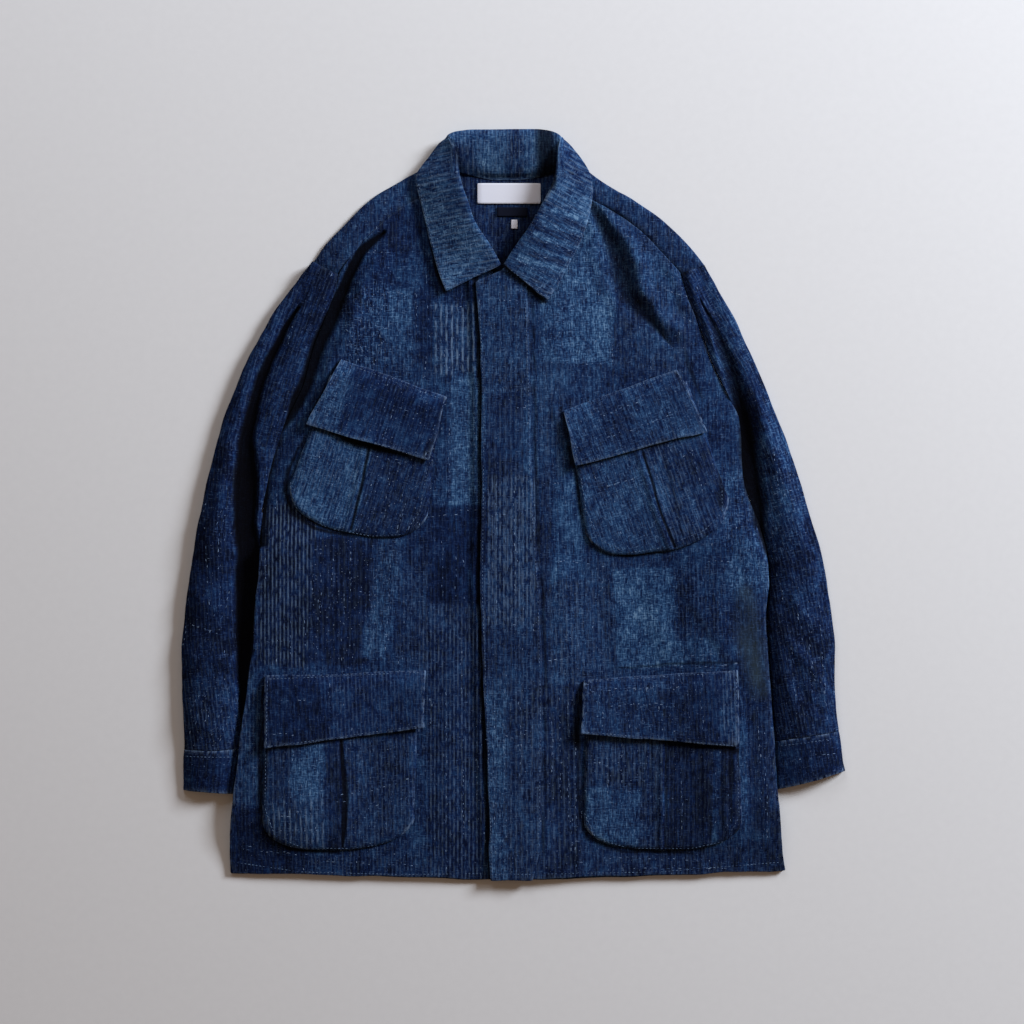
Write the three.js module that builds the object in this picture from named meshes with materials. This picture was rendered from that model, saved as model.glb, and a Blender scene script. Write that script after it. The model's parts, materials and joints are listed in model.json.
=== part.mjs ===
// Patched indigo field jacket laid flat, face up, collar towards +Y, floor at z = 0.
// Millimetres, +Z up. Left and right are the wearer's, so the right half lies at -X.
import * as THREE from 'three';

// Thicknesses and clearances.
const CLOTH = 1.8;
const DOUBLE = 2.2;
const LABEL = 1.0;
const SEAM = 0.4;
const REST = 0.5;

// Air kept inside the garment.
const LOFT = 2.2;
const LOFT_RUN = 70;
const AIR_MAX = 6.4;
const UNDERLAP_RISE = 2.4;
const UNDERLAP_END = 36;
const UNDERLAP_RUN = 62;

// Soft roll of each front beside its armhole seam.
const ARM_ROLL = { right: 3.4, left: 1.8 };
const ARM_ROLL_RUN = 13;
const ARM_ROLL_FADE = 80;

// The body is raised where a sleeve is tucked under its side.
const TUCK_RISE = 9;
const TUCK_RUN = 100;
const TUCK = {
  right: { inner: -244, top: -8, full: -54, low: -337, end: -410 },
  left: { inner: 240, top: 5, full: -42, low: -340, end: -410 },
};

// Sleeves: two layers lying flat, with a soft ridge along the outer side.
const SLEEVE_AIR = 0.5;
const SLEEVE_RIDGE = 7.4;
const RIDGE_RUN = 22;
const STRIP_RISE = 4.4;

// Pockets and flaps.
const POCKET_AIR = 2.2;
const TURN_IN = 2.6;
const PLEAT_RISE = 1.9;
const FLAP_RUN = 14;

// Grid counts.
const FRONT_COLUMNS = 12;
const SHOULDER_COLUMNS = 6;
const NECK_COLUMNS = 6;
const SLEEVE_COLUMNS = 8;
const COLLAR_ROWS = 40;
const COLLAR_STEPS = 5;

// Sections of the body from hem to shoulder seam. right and left are the side seam, then the
// armhole; frontR and frontL the edge of each front, then its neck; backY the back's height there.
const BODY = [
  { right: [-318, -411], left: [304, -409], frontR: [-2, -419], frontL: [-27, -419], backY: -419 },
  { right: [-318, -385], left: [300, -385], frontR: [-2, -385], frontL: [-28, -385], backY: -385 },
  { right: [-317, -354], left: [298, -354], frontR: [-2, -352], frontL: [-28, -352], backY: -352 },
  { right: [-314, -324], left: [296, -324], frontR: [-2, -323], frontL: [-29, -323], backY: -323 },
  { right: [-309, -293], left: [293, -293], frontR: [-2, -292], frontL: [-29, -292], backY: -292 },
  { right: [-305, -256], left: [290, -256], frontR: [-2, -256], frontL: [-31, -256], backY: -256 },
  { right: [-300, -220], left: [287, -220], frontR: [-2, -220], frontL: [-32, -220], backY: -220 },
  { right: [-295, -186], left: [284, -186], frontR: [-2, -185], frontL: [-35, -185], backY: -185 },
  { right: [-289, -150], left: [282, -150], frontR: [-2, -149], frontL: [-36, -149], backY: -149 },
  { right: [-286, -114], left: [282, -114], frontR: [-2, -113], frontL: [-37, -113], backY: -113 },
  { right: [-282, -83], left: [282, -81], frontR: [-2, -80], frontL: [-38, -80], backY: -80 },
  { right: [-280, -52], left: [279, -47], frontR: [-2, -45], frontL: [-37, -45], backY: -45 },
  { right: [-279, -29], left: [272, -20], frontR: [-2, -16], frontL: [-36, -16], backY: -16 },
  { right: [-279, -7], left: [262, 4], frontR: [-2, 13], frontL: [-36, 13], backY: 13 },
  { right: [-276, 29], left: [254, 31], frontR: [-2, 49], frontL: [-36, 49], backY: 49 },
  { right: [-267, 63], left: [252, 72], frontR: [-2, 85], frontL: [-36, 85], backY: 85 },
  { right: [-255, 90], left: [249, 103], frontR: [-2, 121], frontL: [-36, 121], backY: 121 },
  { right: [-243, 112], left: [240, 123], frontR: [-2, 155], frontL: [-37, 155], backY: 155 },
  { right: [-233, 137], left: [228, 146], frontR: [-2, 188], frontL: [-38, 188], backY: 188 },
  { right: [-226, 164], left: [218, 170], frontR: [-3, 226], frontL: [-43, 251], backY: 222 },
  { right: [-217, 188], left: [208, 197], frontR: [-18, 253], frontL: [-13, 265], backY: 254 },
  { right: [-206, 215], left: [199, 222], frontR: [-36, 284], frontL: [13, 283], backY: 287 },
  { right: [-198, 239], left: [193, 242], frontR: [-57, 320], frontL: [39, 316], backY: 318 },
  { right: [-197, 259], left: [188, 259], frontR: [-75, 354], frontL: [63, 354], backY: 352 },
];
const UNDERARM = 13;
const NECK_X = { right: -75, left: 63 };

// How far the top sections bow up between armhole and neck, counted from the shoulder seam down.
const SHOULDER_BOW = [
  { right: 21, left: 14 },
  { right: 15, left: 10 },
  { right: 10, left: 6 },
  { right: 5, left: 3 },
  { right: 2, left: 1 },
];

// Fold of the back over the shoulder, from the sleeve head to the neck.
const SHOULDER_FOLD = [
  { right: [-226, 273], left: [215, 270] },
  { right: [-206, 298], left: [193, 297] },
  { right: [-185, 321], left: [171, 317] },
  { right: [-161, 343], left: [146, 335] },
  { right: [-134, 361], left: [118, 353] },
  { right: [-106, 376], left: [92, 370] },
  { right: [-80, 388], left: [66, 388] },
];
const NECK_DROP = 20;

// Soft ridges (high above zero) and troughs of the fronts.
const FRONT_FOLDS = [
  { on: 'left', from: [87, 329], to: [121, 242], wide: 15, high: -1.8 },
  { on: 'left', from: [121, 242], to: [172, 184], wide: 14, high: -1.7 },
  { on: 'left', from: [137, 298], to: [181, 206], wide: 18, high: 1.4 },
  { on: 'left', from: [103, -94], to: [96, -177], wide: 18, high: -1.2 },
  { on: 'left', from: [215, -88], to: [233, -172], wide: 20, high: 1.2 },
  { on: 'left', from: [52, -240], to: [47, -403], wide: 17, high: -1.2 },
  { on: 'right', from: [-137, 318], to: [-166, 197], wide: 20, high: 1.3 },
  { on: 'right', from: [-69, 208], to: [-65, 7], wide: 18, high: 0.9 },
  { on: 'right', from: [-132, -60], to: [-157, -172], wide: 18, high: 1.3 },
  { on: 'right', from: [-215, -60], to: [-226, -175], wide: 18, high: -1.2 },
  { on: 'right', from: [-72, -217], to: [-76, -403], wide: 18, high: 1.1 },
];

// Sections of each sleeve between armhole and cuff: fold at the outer side, and the inner fold
// that is tucked under the body.
const SLEEVES = {
  right: [
    { outer: [-226, 273], inner: [-281, -9] },
    { outer: [-258, 233], inner: [-281, -29] },
    { outer: [-282, 196], inner: [-282, -50] },
    { outer: [-304, 155], inner: [-283, -68] },
    { outer: [-320, 116], inner: [-278, -92] },
    { outer: [-334, 73], inner: [-268, -118] },
    { outer: [-344, 29], inner: [-258, -140] },
    { outer: [-353, -16], inner: [-253, -161] },
    { outer: [-361, -60], inner: [-253, -186] },
    { outer: [-367, -103], inner: [-253, -208] },
    { outer: [-373, -150], inner: [-254, -231] },
    { outer: [-371, -212], inner: [-255, -253] },
    { outer: [-370, -272], inner: [-258, -274] },
  ],
  left: [
    { outer: [215, 270], inner: [264, 3] },
    { outer: [235, 233], inner: [274, -19] },
    { outer: [254, 197], inner: [281, -46] },
    { outer: [272, 159], inner: [284, -66] },
    { outer: [288, 119], inner: [279, -93] },
    { outer: [304, 78], inner: [269, -122] },
    { outer: [318, 38], inner: [255, -147] },
    { outer: [330, -2], inner: [251, -170] },
    { outer: [343, -45], inner: [249, -193] },
    { outer: [353, -96], inner: [248, -214] },
    { outer: [361, -150], inner: [248, -233] },
    { outer: [360, -204], inner: [248, -251] },
    { outer: [364, -252], inner: [249, -269] },
  ],
};

// Valley between each sleeve's ridge and the body, from the sleeve head to the cuff.
const VALLEYS = [
  { right: [-233, 269], left: [208, 273] },
  { right: [-240, 240], left: [215, 242] },
  { right: [-273, 167], left: [232, 195] },
  { right: [-293, 116], left: [249, 137] },
  { right: [-305, 49], left: [263, 77] },
  { right: [-304, -7], left: [272, 29] },
  { right: [-307, -60], left: [284, -44] },
  { right: [-307, -139], left: [289, -116] },
  { right: [-301, -197], left: [290, -172] },
  { right: [-304, -236], left: [293, -223] },
  { right: [-309, -284], left: [298, -273] },
  { right: [-309, -335], left: [301, -336] },
];

const SLEEVE_FOLDS = [
  { on: 'right', from: [-363, -94], to: [-314, -143], wide: 9, high: -1.3 },
  { on: 'right', from: [-365, -161], to: [-316, -190], wide: 9, high: -1.1 },
  { on: 'right', from: [-327, 40], to: [-347, -60], wide: 11, high: 0.9 },
  { on: 'left', from: [305, -60], to: [349, -150], wide: 9, high: -1.4 },
  { on: 'left', from: [302, -105], to: [343, -217], wide: 9, high: -1.3 },
  { on: 'left', from: [305, -161], to: [327, -237], wide: 8, high: -1.0 },
  { on: 'left', from: [280, 85], to: [323, -60], wide: 12, high: 0.9 },
];

const CUFFS = {
  right: { outer: [-371, -318], inner: [-259, -327] },
  left: { outer: [372, -297], inner: [251, -329] },
};

// Seam of the fly placket on the left front.
const PLACKET = [
  { y: -419, seam: 30 },
  { y: -223, seam: 31 },
  { y: -96, seam: 29 },
  { y: 29, seam: 20 },
  { y: 235, seam: 15 },
];

// Flaps: corners from the upper inner one round to the lower inner one, and the rise at the
// two lower corners.
const FLAPS = {
  chestR: { a: [-75, 121], b: [-193, 164], c: [-232, 91], d: [-94, 50], riseC: 0.6, riseD: 1.6 },
  chestL: { a: [56, 106], b: [183, 153], c: [216, 83], d: [69, 45], riseC: 0.6, riseD: 1.8 },
  hipR: { a: [-99, -184], b: [-277, -190], c: [-278, -270], d: [-100, -248], riseC: 0.8, riseD: 1.2 },
  hipL: { a: [78, -195], b: [250, -183], c: [250, -269], d: [74, -254], riseC: 0.6, riseD: 3.4 },
};

// Pockets: mouth inner and outer, bottom outer and inner corners, rounding as a share of the
// depth, and the place of the pleat across the mouth and the bottom (0 inner, 1 outer).
const POCKETS = {
  chestR: {
    a: [-83, 105], b: [-205, 146], c: [-262, -10], d: [-101, -41],
    round: 0.2, belly: 5, pleat: [0.52, 0.52],
  },
  chestL: {
    a: [63, 92], b: [193, 140], c: [251, -27], d: [85, -63],
    round: 0.2, belly: 5, pleat: [0.5, 0.58],
  },
  hipR: {
    a: [-109, -199], b: [-274, -206], c: [-281, -383], d: [-112, -376],
    round: 0.14, belly: 4, pleat: [0.5, 0.47],
  },
  hipL: {
    a: [83, -211], b: [248, -206], c: [254, -380], d: [78, -381],
    round: 0.14, belly: 4, pleat: [0.53, 0.52],
  },
};

// Collar from the right front round the neck to the left front: neck seam, roll and outer edge,
// with the way the cloth leaves the roll (0 level, 90 straight down).
const COLLAR = [
  { neck: [-22, 267, 5], roll: [-16, 269, 12.6], edge: [-76, 240, 10.6], turn: 10 },
  { neck: [-30, 281, 3.8], roll: [-27, 288, 18], edge: [-86, 269, 11], turn: 6 },
  { neck: [-44, 306, 3.6], roll: [-43, 311, 22], edge: [-95, 300, 11], turn: 7 },
  { neck: [-59, 335, 3.6], roll: [-55, 339, 24], edge: [-104, 336, 10.6], turn: 10 },
  { neck: [-69, 358, 3.6], roll: [-63, 367, 23.5], edge: [-110, 367, 9.6], turn: 14 },
  { neck: [-68, 370, 3.6], roll: [-66, 388, 21.5], edge: [-102, 381, 8], turn: 24 },
  { neck: [-66, 373, 3.6], roll: [-70, 403, 18], edge: [-90, 397, 6.4], turn: 42 },
  { neck: [-63, 374, 3.6], roll: [-73, 414, 14], edge: [-78, 411, 4.6], turn: 80 },
  { neck: [-53, 372, 3.6], roll: [-60, 419, 11.4], edge: [-59, 389, 1.6], turn: 90 },
  { neck: [-30, 367, 3.6], roll: [-34, 420, 10.4], edge: [-31, 380, 1.6], turn: 90 },
  { neck: [-7, 366, 3.6], roll: [-8, 420, 10], edge: [-7, 379, 1.6], turn: 90 },
  { neck: [17, 367, 3.6], roll: [18, 420, 10.4], edge: [18, 380, 1.6], turn: 90 },
  { neck: [38, 372, 3.6], roll: [40, 418, 11.4], edge: [40, 389, 1.6], turn: 90 },
  { neck: [48, 374, 3.6], roll: [52, 412, 14], edge: [57, 409, 4.6], turn: 80 },
  { neck: [52, 373, 3.6], roll: [51, 401, 18], edge: [69, 395, 6.4], turn: 42 },
  { neck: [54, 370, 3.6], roll: [50, 386, 21.5], edge: [81, 380, 8], turn: 24 },
  { neck: [56, 358, 3.6], roll: [48, 367, 23.5], edge: [88, 365, 9.6], turn: 14 },
  { neck: [47, 336, 3.6], roll: [37, 340, 24], edge: [87, 334, 10.6], turn: 10 },
  { neck: [27, 307, 3.6], roll: [21, 311, 22], edge: [75, 298, 11], turn: 7 },
  { neck: [3, 282, 4.2], roll: [3, 288, 18], edge: [55, 258, 11], turn: 6 },
  { neck: [-10, 271, 5.4], roll: [-10, 268, 15.4], edge: [38, 230, 12.2], turn: 8 },
];

// Labels on the inside of the back, below the neck seam.
const LABELS = [
  { name: 'neck_label', low: [-41, 339], high: [30, 362], color: 0xe6e4de },
  { name: 'care_label', low: [-19, 325], high: [15, 335], color: 0x1b2438 },
  { name: 'size_tab', low: [-3, 311], high: [4, 321], color: 0xe6e4de },
];

const MID = CLOTH / 2;
const LAST = BODY.length - 1;

const lerp = (a, b, t) => a + (b - a) * t;
const mix = (p, q, t) => p.map((value, i) => lerp(value, q[i], t));
const soft = (t) => THREE.MathUtils.smoothstep(t, 0, 1);
const at = (p, z) => new THREE.Vector3(p[0], p[1], z);

// Point at a share of the way along a list of points.
function along(points, share) {
  const place = Math.min(Math.max(share, 0), 1) * (points.length - 1);
  const i = Math.min(Math.floor(place), points.length - 2);
  return mix(points[i], points[i + 1], place - i);
}

// Distance from a point to a polyline, above zero on its left side.
function reach(points, x, y) {
  let best = Infinity;
  let side = 1;
  for (let i = 0; i < points.length - 1; i += 1) {
    const [ax, ay] = points[i];
    const dx = points[i + 1][0] - ax;
    const dy = points[i + 1][1] - ay;
    const t = Math.min(Math.max(((x - ax) * dx + (y - ay) * dy) / (dx * dx + dy * dy), 0), 1);
    const gap = Math.hypot(x - ax - dx * t, y - ay - dy * t);
    if (gap < best) {
      best = gap;
      side = dx * (y - ay) - dy * (x - ax) >= 0 ? 1 : -1;
    }
  }
  return best * side;
}

// Height of the soft ridges and troughs of one side at a point.
function folds(table, side, x, y) {
  let high = 0;
  for (const fold of table) {
    if (fold.on === side) {
      const gap = reach([fold.from, fold.to], x, y) / fold.wide;
      high += fold.high * Math.exp(-gap * gap);
    }
  }
  return high;
}

// Closed wall about a grid of points. A ring joins its last column to its first; has() tells
// which cells are cloth.
function wall(grid, thickness, { ring = false, has = () => true } = {}) {
  const rows = grid.length;
  const columns = grid[0].length;
  const cellColumns = ring ? columns : columns - 1;
  const wrap = (j) => (j + columns) % columns;
  const positions = [];
  const indices = [];
  const numbers = new Map();
  const joined = (i, j) => has(Math.min(i, rows - 2), j) || (i > 0 && has(i - 1, j));
  const beforeIn = (i, j) => (joined(i, wrap(j - 1)) ? grid[i][wrap(j - 1)] : grid[i][j]);
  const afterIn = (i, j) => (joined(i, j) ? grid[i][wrap(j + 1)] : grid[i][j]);
  const normal = (i, j) => {
    const left = ring ? beforeIn(i, j) : grid[i][Math.max(j - 1, 0)];
    const right = ring ? afterIn(i, j) : grid[i][Math.min(j + 1, columns - 1)];
    const down = has(i - 1, Math.min(j, cellColumns - 1)) && i > 0 ? grid[i - 1][j] : grid[i][j];
    const below = has(i - 1, Math.max(j - 1, 0)) && i > 0 ? grid[i - 1][j] : down;
    const canRise = i < rows - 1 && (has(i, Math.min(j, cellColumns - 1)) || has(i, Math.max(j - 1, 0)));
    const up = canRise ? grid[i + 1][j] : grid[i][j];
    const across = new THREE.Vector3().subVectors(right, left);
    const rise = new THREE.Vector3().subVectors(up, below);
    return across.cross(rise).normalize();
  };
  const number = (i, j, layer) => {
    const key = `${i},${j},${layer}`;
    if (!numbers.has(key)) {
      const point = grid[i][j].clone().addScaledVector(normal(i, j), (layer - 0.5) * thickness);
      numbers.set(key, positions.length / 3);
      positions.push(point.x, point.y, point.z);
    }
    return numbers.get(key);
  };
  const quad = (a, b, c, d) => indices.push(a, b, c, a, c, d);
  const sides = new Map();
  for (let i = 0; i < rows - 1; i += 1) {
    for (let j = 0; j < cellColumns; j += 1) {
      if (has(i, j)) {
        const corners = [[i, j], [i, wrap(j + 1)], [i + 1, wrap(j + 1)], [i + 1, j]];
        const upper = corners.map(([r, c]) => number(r, c, 1));
        const lower = corners.map(([r, c]) => number(r, c, 0));
        quad(...upper);
        quad(lower[0], lower[3], lower[2], lower[1]);
        for (let k = 0; k < 4; k += 1) {
          const n = (k + 1) % 4;
          sides.set(`${upper[k]}>${upper[n]}`, [upper[k], upper[n], lower[k], lower[n]]);
        }
      }
    }
  }
  for (const [p, q, pLow, qLow] of sides.values()) {
    if (!sides.has(`${q}>${p}`)) {
      quad(q, p, pLow, qLow);
    }
  }
  const geometry = new THREE.BufferGeometry();
  geometry.setAttribute('position', new THREE.Float32BufferAttribute(positions, 3));
  geometry.setIndex(outward(positions, indices));
  return geometry;
}

// The same triangles, turned over where they enclose a volume below zero.
function outward(positions, indices) {
  const point = (n) => new THREE.Vector3().fromArray(positions, n * 3);
  let volume = 0;
  for (let i = 0; i < indices.length; i += 3) {
    const [a, b, c] = [indices[i], indices[i + 1], indices[i + 2]].map(point);
    volume += a.dot(b.cross(c));
  }
  return volume > 0 ? indices : indices.slice().reverse();
}

const group = new THREE.Group();
group.name = 'patched_jacket';

function add(name, geometry, color) {
  geometry.computeVertexNormals();
  const mesh = new THREE.Mesh(geometry, new THREE.MeshStandardMaterial({ color, roughness: 0.9 }));
  mesh.name = name;
  group.add(mesh);
}

// Body outline with a point half way between sections, so that seams share their points.
function section(k, key) {
  const i = Math.min(Math.floor(k), LAST - 1);
  return mix(BODY[i][key], BODY[i + 1][key], k - i);
}

function backY(k) {
  const i = Math.min(Math.floor(k), LAST - 1);
  return lerp(BODY[i].backY, BODY[i + 1].backY, k - i);
}

function bow(k, side) {
  const place = LAST - k;
  const i = Math.floor(place);
  if (i >= SHOULDER_BOW.length) {
    return 0;
  }
  const next = i + 1 < SHOULDER_BOW.length ? SHOULDER_BOW[i + 1][side] : 0;
  return lerp(SHOULDER_BOW[i][side], next, place - i);
}

const SECTIONS = Array.from({ length: LAST * 2 + 1 }, (_, n) => n / 2);
const EDGE = {
  right: BODY.map((row) => row.right),
  left: BODY.map((row) => row.left),
};
const ARMHOLE = {
  right: EDGE.right.slice(UNDERARM),
  left: EDGE.left.slice(UNDERARM),
};

// Underside of the body over a tucked sleeve.
function tuck(x, y) {
  let rise = 0;
  for (const side of ['right', 'left']) {
    const t = TUCK[side];
    const inward = side === 'right' ? x - t.inner : t.inner - x;
    const across = 1 - soft(inward / TUCK_RUN);
    const down = soft((t.top - y) / (t.top - t.full)) * (1 - soft((t.low - y) / (t.low - t.end)));
    rise += TUCK_RISE * across * down;
  }
  return rise;
}

// Air between the back and a front.
function air(side, x, y) {
  const gap = Math.abs(reach(EDGE[side], x, y));
  let high = lerp(SEAM, LOFT, soft(gap / LOFT_RUN));
  high += folds(FRONT_FOLDS, side, x, y) * soft(gap / 30);
  const arm = Math.abs(reach(ARMHOLE[side], x, y));
  high += ARM_ROLL[side] * soft(arm / ARM_ROLL_RUN) * (1 - soft((arm - ARM_ROLL_RUN) / ARM_ROLL_FADE));
  if (side === 'left') {
    high = Math.max(high, lerp(SEAM, LOFT, 0.2));
    const rise = 1 - soft((x - UNDERLAP_END) / UNDERLAP_RUN);
    const over = lerp(high, Math.max(high, LOFT - 0.9), rise) + UNDERLAP_RISE * rise;
    return Math.min(over, AIR_MAX + rise);
  }
  const flat = soft((x + 90) / 50);
  return Math.min(Math.max(lerp(high, LOFT - 1.2, flat), SEAM), AIR_MAX);
}

const frontMid = (side, x, y) => tuck(x, y) + CLOTH + air(side, x, y) + MID;
const frontTop = (side, x, y) => frontMid(side, x, y) + MID;

// Plan of a front: columns run from the outer edge to the inner one.
function frontPoint(side, k, column) {
  const u = column / FRONT_COLUMNS;
  const point = mix(section(k, side), section(k, side === 'right' ? 'frontR' : 'frontL'), u);
  point[1] += bow(k, side) * 4 * u * (1 - u);
  return point;
}

function front(side) {
  return SECTIONS.map((k) => {
    const row = [];
    for (let j = 0; j <= FRONT_COLUMNS; j += 1) {
      const odd = k === LAST && j % 2 === 1;
      const point = odd
        ? mix(frontPoint(side, k, j - 1), frontPoint(side, k, j + 1), 0.5)
        : frontPoint(side, k, j);
      row.push(at(point, frontMid(side, point[0], point[1])));
    }
    return side === 'right' ? row : row.reverse();
  });
}

// Back: one panel from side to side, rolled over both shoulders to the front's seam.
const BACK_COLUMNS = SHOULDER_COLUMNS * 2 + NECK_COLUMNS;

function backPoint(k, column) {
  const step = FRONT_COLUMNS / SHOULDER_COLUMNS;
  const neck = (side) => [NECK_X[side], backY(k)];
  const part = (side, c) => {
    const u = c / SHOULDER_COLUMNS;
    const straight = mix(section(k, side), neck(side), u);
    straight[1] += bow(k, side) * 4 * u * (1 - u);
    const blend = soft((k - LAST + 3) / 3);
    return mix(straight, frontPoint(side, k, c * step), blend);
  };
  if (column <= SHOULDER_COLUMNS) {
    return part('right', column);
  }
  if (column >= SHOULDER_COLUMNS + NECK_COLUMNS) {
    return part('left', BACK_COLUMNS - column);
  }
  const from = part('right', SHOULDER_COLUMNS);
  return mix(from, part('left', SHOULDER_COLUMNS), (column - SHOULDER_COLUMNS) / NECK_COLUMNS);
}

function back() {
  const grid = SECTIONS.map((k) => {
    const row = [];
    for (let c = 0; c <= BACK_COLUMNS; c += 1) {
      const point = backPoint(k, c);
      row.push(at(point, tuck(point[0], point[1]) + MID));
    }
    return row;
  });
  const under = [];
  const nose = [];
  const over = [];
  const seam = [];
  for (let c = 0; c <= BACK_COLUMNS; c += 1) {
    const side = c <= BACK_COLUMNS / 2 ? 'right' : 'left';
    const place = side === 'right' ? c : BACK_COLUMNS - c;
    const edge = backPoint(LAST, c);
    const fold = SHOULDER_FOLD.map((row) => row[side]);
    const neckShare = (c - SHOULDER_COLUMNS) / NECK_COLUMNS;
    const drop = NECK_DROP * (1 - (2 * neckShare - 1) ** 4);
    const ends = ['right', 'left'].map((s) => SHOULDER_FOLD[SHOULDER_FOLD.length - 1][s]);
    const onNeck = place > SHOULDER_COLUMNS;
    const far = onNeck ? mix(ends[0], ends[1], neckShare) : along(fold, place / SHOULDER_COLUMNS);
    if (onNeck) {
      far[1] -= drop;
    }
    const high = frontMid(side, edge[0], edge[1]);
    const radius = (high - MID) / 2;
    const length = Math.hypot(far[0] - edge[0], far[1] - edge[1]);
    const inset = (distance) => mix(far, edge, distance / length);
    const shy = onNeck ? 0 : MID + radius;
    under.push(at(inset(shy), MID));
    nose.push(at(inset(MID), MID + radius));
    over.push(at(inset(MID + radius), high));
    seam.push(at(mix(edge, far, SEAM / length), high));
  }
  grid.push(under, nose, over, seam);
  const mainRows = SECTIONS.length;
  const isShoulder = (j) => j < SHOULDER_COLUMNS || j >= SHOULDER_COLUMNS + NECK_COLUMNS;
  return wall(grid, CLOTH, { has: (i, j) => i < mainRows || isShoulder(j) });
}

// Points of a polyline moved to its right by a distance.
function beside(points, distance) {
  return points.map((point, i) => {
    const before = points[Math.max(i - 1, 0)];
    const after = points[Math.min(i + 1, points.length - 1)];
    const dx = after[0] - before[0];
    const dy = after[1] - before[1];
    const length = Math.hypot(dx, dy);
    return [point[0] + (dy / length) * distance, point[1] - (dx / length) * distance];
  });
}

// Shares of its whole length at which the points of a polyline lie.
function shares(points) {
  const sums = [0];
  for (let i = 1; i < points.length; i += 1) {
    const dx = points[i][0] - points[i - 1][0];
    const dy = points[i][1] - points[i - 1][1];
    sums.push(sums[i - 1] + Math.hypot(dx, dy));
  }
  return sums.map((sum) => sum / sums[sums.length - 1]);
}

// Plan of a sleeve: rows across it, from the outer fold to the armhole seam, then to the inner fold.
function sleevePlan(side) {
  const table = SLEEVES[side];
  const hole = [table[0].outer];
  for (let k = LAST; k > UNDERARM; k -= 1) {
    hole.push(BODY[k][side]);
  }
  hole.push(table[0].inner);
  const [head, ...armhole] = beside(hole, (side === 'right' ? 1 : -1) * (SEAM + 0.5));
  const inner = [...armhole, ...table.slice(1).map((row) => row.inner)];
  const outer = [head, ...table.slice(1).map((row) => row.outer)];
  const outerShares = shares(outer);
  return shares(inner).map((share, r) => {
    const i = Math.max(outerShares.findIndex((s) => s >= share - 1e-9), 1);
    const t = (share - outerShares[i - 1]) / (outerShares[i] - outerShares[i - 1]);
    const start = mix(outer[i - 1], outer[i], t);
    const row = [];
    for (let j = 0; j <= SLEEVE_COLUMNS; j += 1) {
      row.push(mix(start, inner[r], j / SLEEVE_COLUMNS));
    }
    return row;
  });
}

// Flattened tube through plan rows: rounded at both folds, with a top layer of given height. The
// first rows, up to the underarm, end at the armhole seam and have no inner fold.
function tube(plan, topMid, openRows = 0) {
  const low = MID;
  return plan.map((row, i) => {
    const n = row.length - 1;
    const from = (end, next, distance) => {
      const length = Math.hypot(next[0] - end[0], next[1] - end[1]);
      return mix(end, next, distance / length);
    };
    const outerNose = from(row[0], row[1], MID);
    const outerTurn = from(row[0], row[1], MID + 1.3);
    const innerNose = from(row[n], row[n - 1], MID);
    const innerTurn = from(row[n], row[n - 1], i < openRows ? 0 : MID + 1.3);
    const flat = [outerTurn, ...row.slice(1, n), innerTurn];
    const heights = flat.map((p) => topMid(p[0], p[1], i));
    const top = flat.map((p, j) => at(p, heights[j]));
    const bottom = flat.map((p) => at(p, low)).reverse();
    const nose = (p, high) => at(p, (low + high) / 2);
    return [nose(outerNose, heights[0]), ...top, nose(innerNose, heights[flat.length - 1]), ...bottom];
  });
}

// Middle of the sleeve's upper layer.
function sleeveMid(side, x, y) {
  const flat = CLOTH + SLEEVE_AIR + MID;
  const valley = VALLEYS.map((row) => row[side]);
  const fromValley = reach(valley, x, y) * (side === 'right' ? -1 : 1);
  const outline = [...SLEEVES[side].map((row) => row.outer), CUFFS[side].outer];
  const fromOutline = Math.abs(reach(outline, x, y));
  const hole = BODY.slice(UNDERARM).map((row) => row[side]);
  const fromHole = Math.abs(reach(hole, x, y));
  if (fromValley > 0) {
    const body = soft(fromValley / RIDGE_RUN) * soft(fromOutline / 20) * soft(fromHole / 30);
    const wrinkle = folds(SLEEVE_FOLDS, side, x, y) * soft(fromValley / 16) * soft(fromOutline / 12);
    return flat + Math.max(SLEEVE_RIDGE * body + wrinkle, 0);
  }
  const inside = y > TUCK[side].top ? 1 : soft((y - TUCK[side].full) / 40);
  return flat + STRIP_RISE * soft(-fromValley / 12) * soft(fromHole / 12) * inside;
}

const OPEN_ROWS = LAST - UNDERARM;

function sleeve(side) {
  const grid = tube(sleevePlan(side), (x, y) => sleeveMid(side, x, y), OPEN_ROWS);
  const fold = SLEEVE_COLUMNS + 1;
  const has = (i, j) => i >= OPEN_ROWS || (j !== fold && j !== fold + 1);
  return wall(grid, CLOTH, { ring: true, has });
}

function cuff(side) {
  const plan = sleevePlan(side);
  const seam = plan[plan.length - 1];
  const end = CUFFS[side];
  const n = seam.length - 1;
  const hem = seam.map((_, j) => mix(end.outer, end.inner, j / n));
  const rows = [0, 0.5, 1].map((t) =>
    seam.map((point, j) => {
      const length = Math.hypot(hem[j][0] - point[0], hem[j][1] - point[1]);
      return mix(point, hem[j], lerp(SEAM / length, 1, t));
    }),
  );
  return tube(rows, (x, y) => sleeveMid(side, x, y));
}

// Fly placket, on the left front from its edge to the placket seam.
function placket() {
  const seams = PLACKET.map((row) => [row.seam, row.y]).reverse();
  const seamX = (y) => {
    const i = Math.max(seams.findIndex((row) => row[1] < y), 1);
    const [x0, y0] = seams[i - 1];
    const [x1, y1] = seams[i];
    return lerp(x0, x1, Math.min(Math.max((y - y0) / (y1 - y0), 0), 1));
  };
  return SECTIONS.filter((k) => k <= 20 && k % 1 === 0).map((k) => {
    const edge = frontPoint('left', k, FRONT_COLUMNS);
    return [0, 1 / 3, 2 / 3, 1].map((t) => {
      const x = lerp(edge[0], seamX(edge[1]), t);
      return at([x, edge[1]], frontTop('left', x, edge[1]) + REST + DOUBLE / 2);
    });
  });
}

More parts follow.
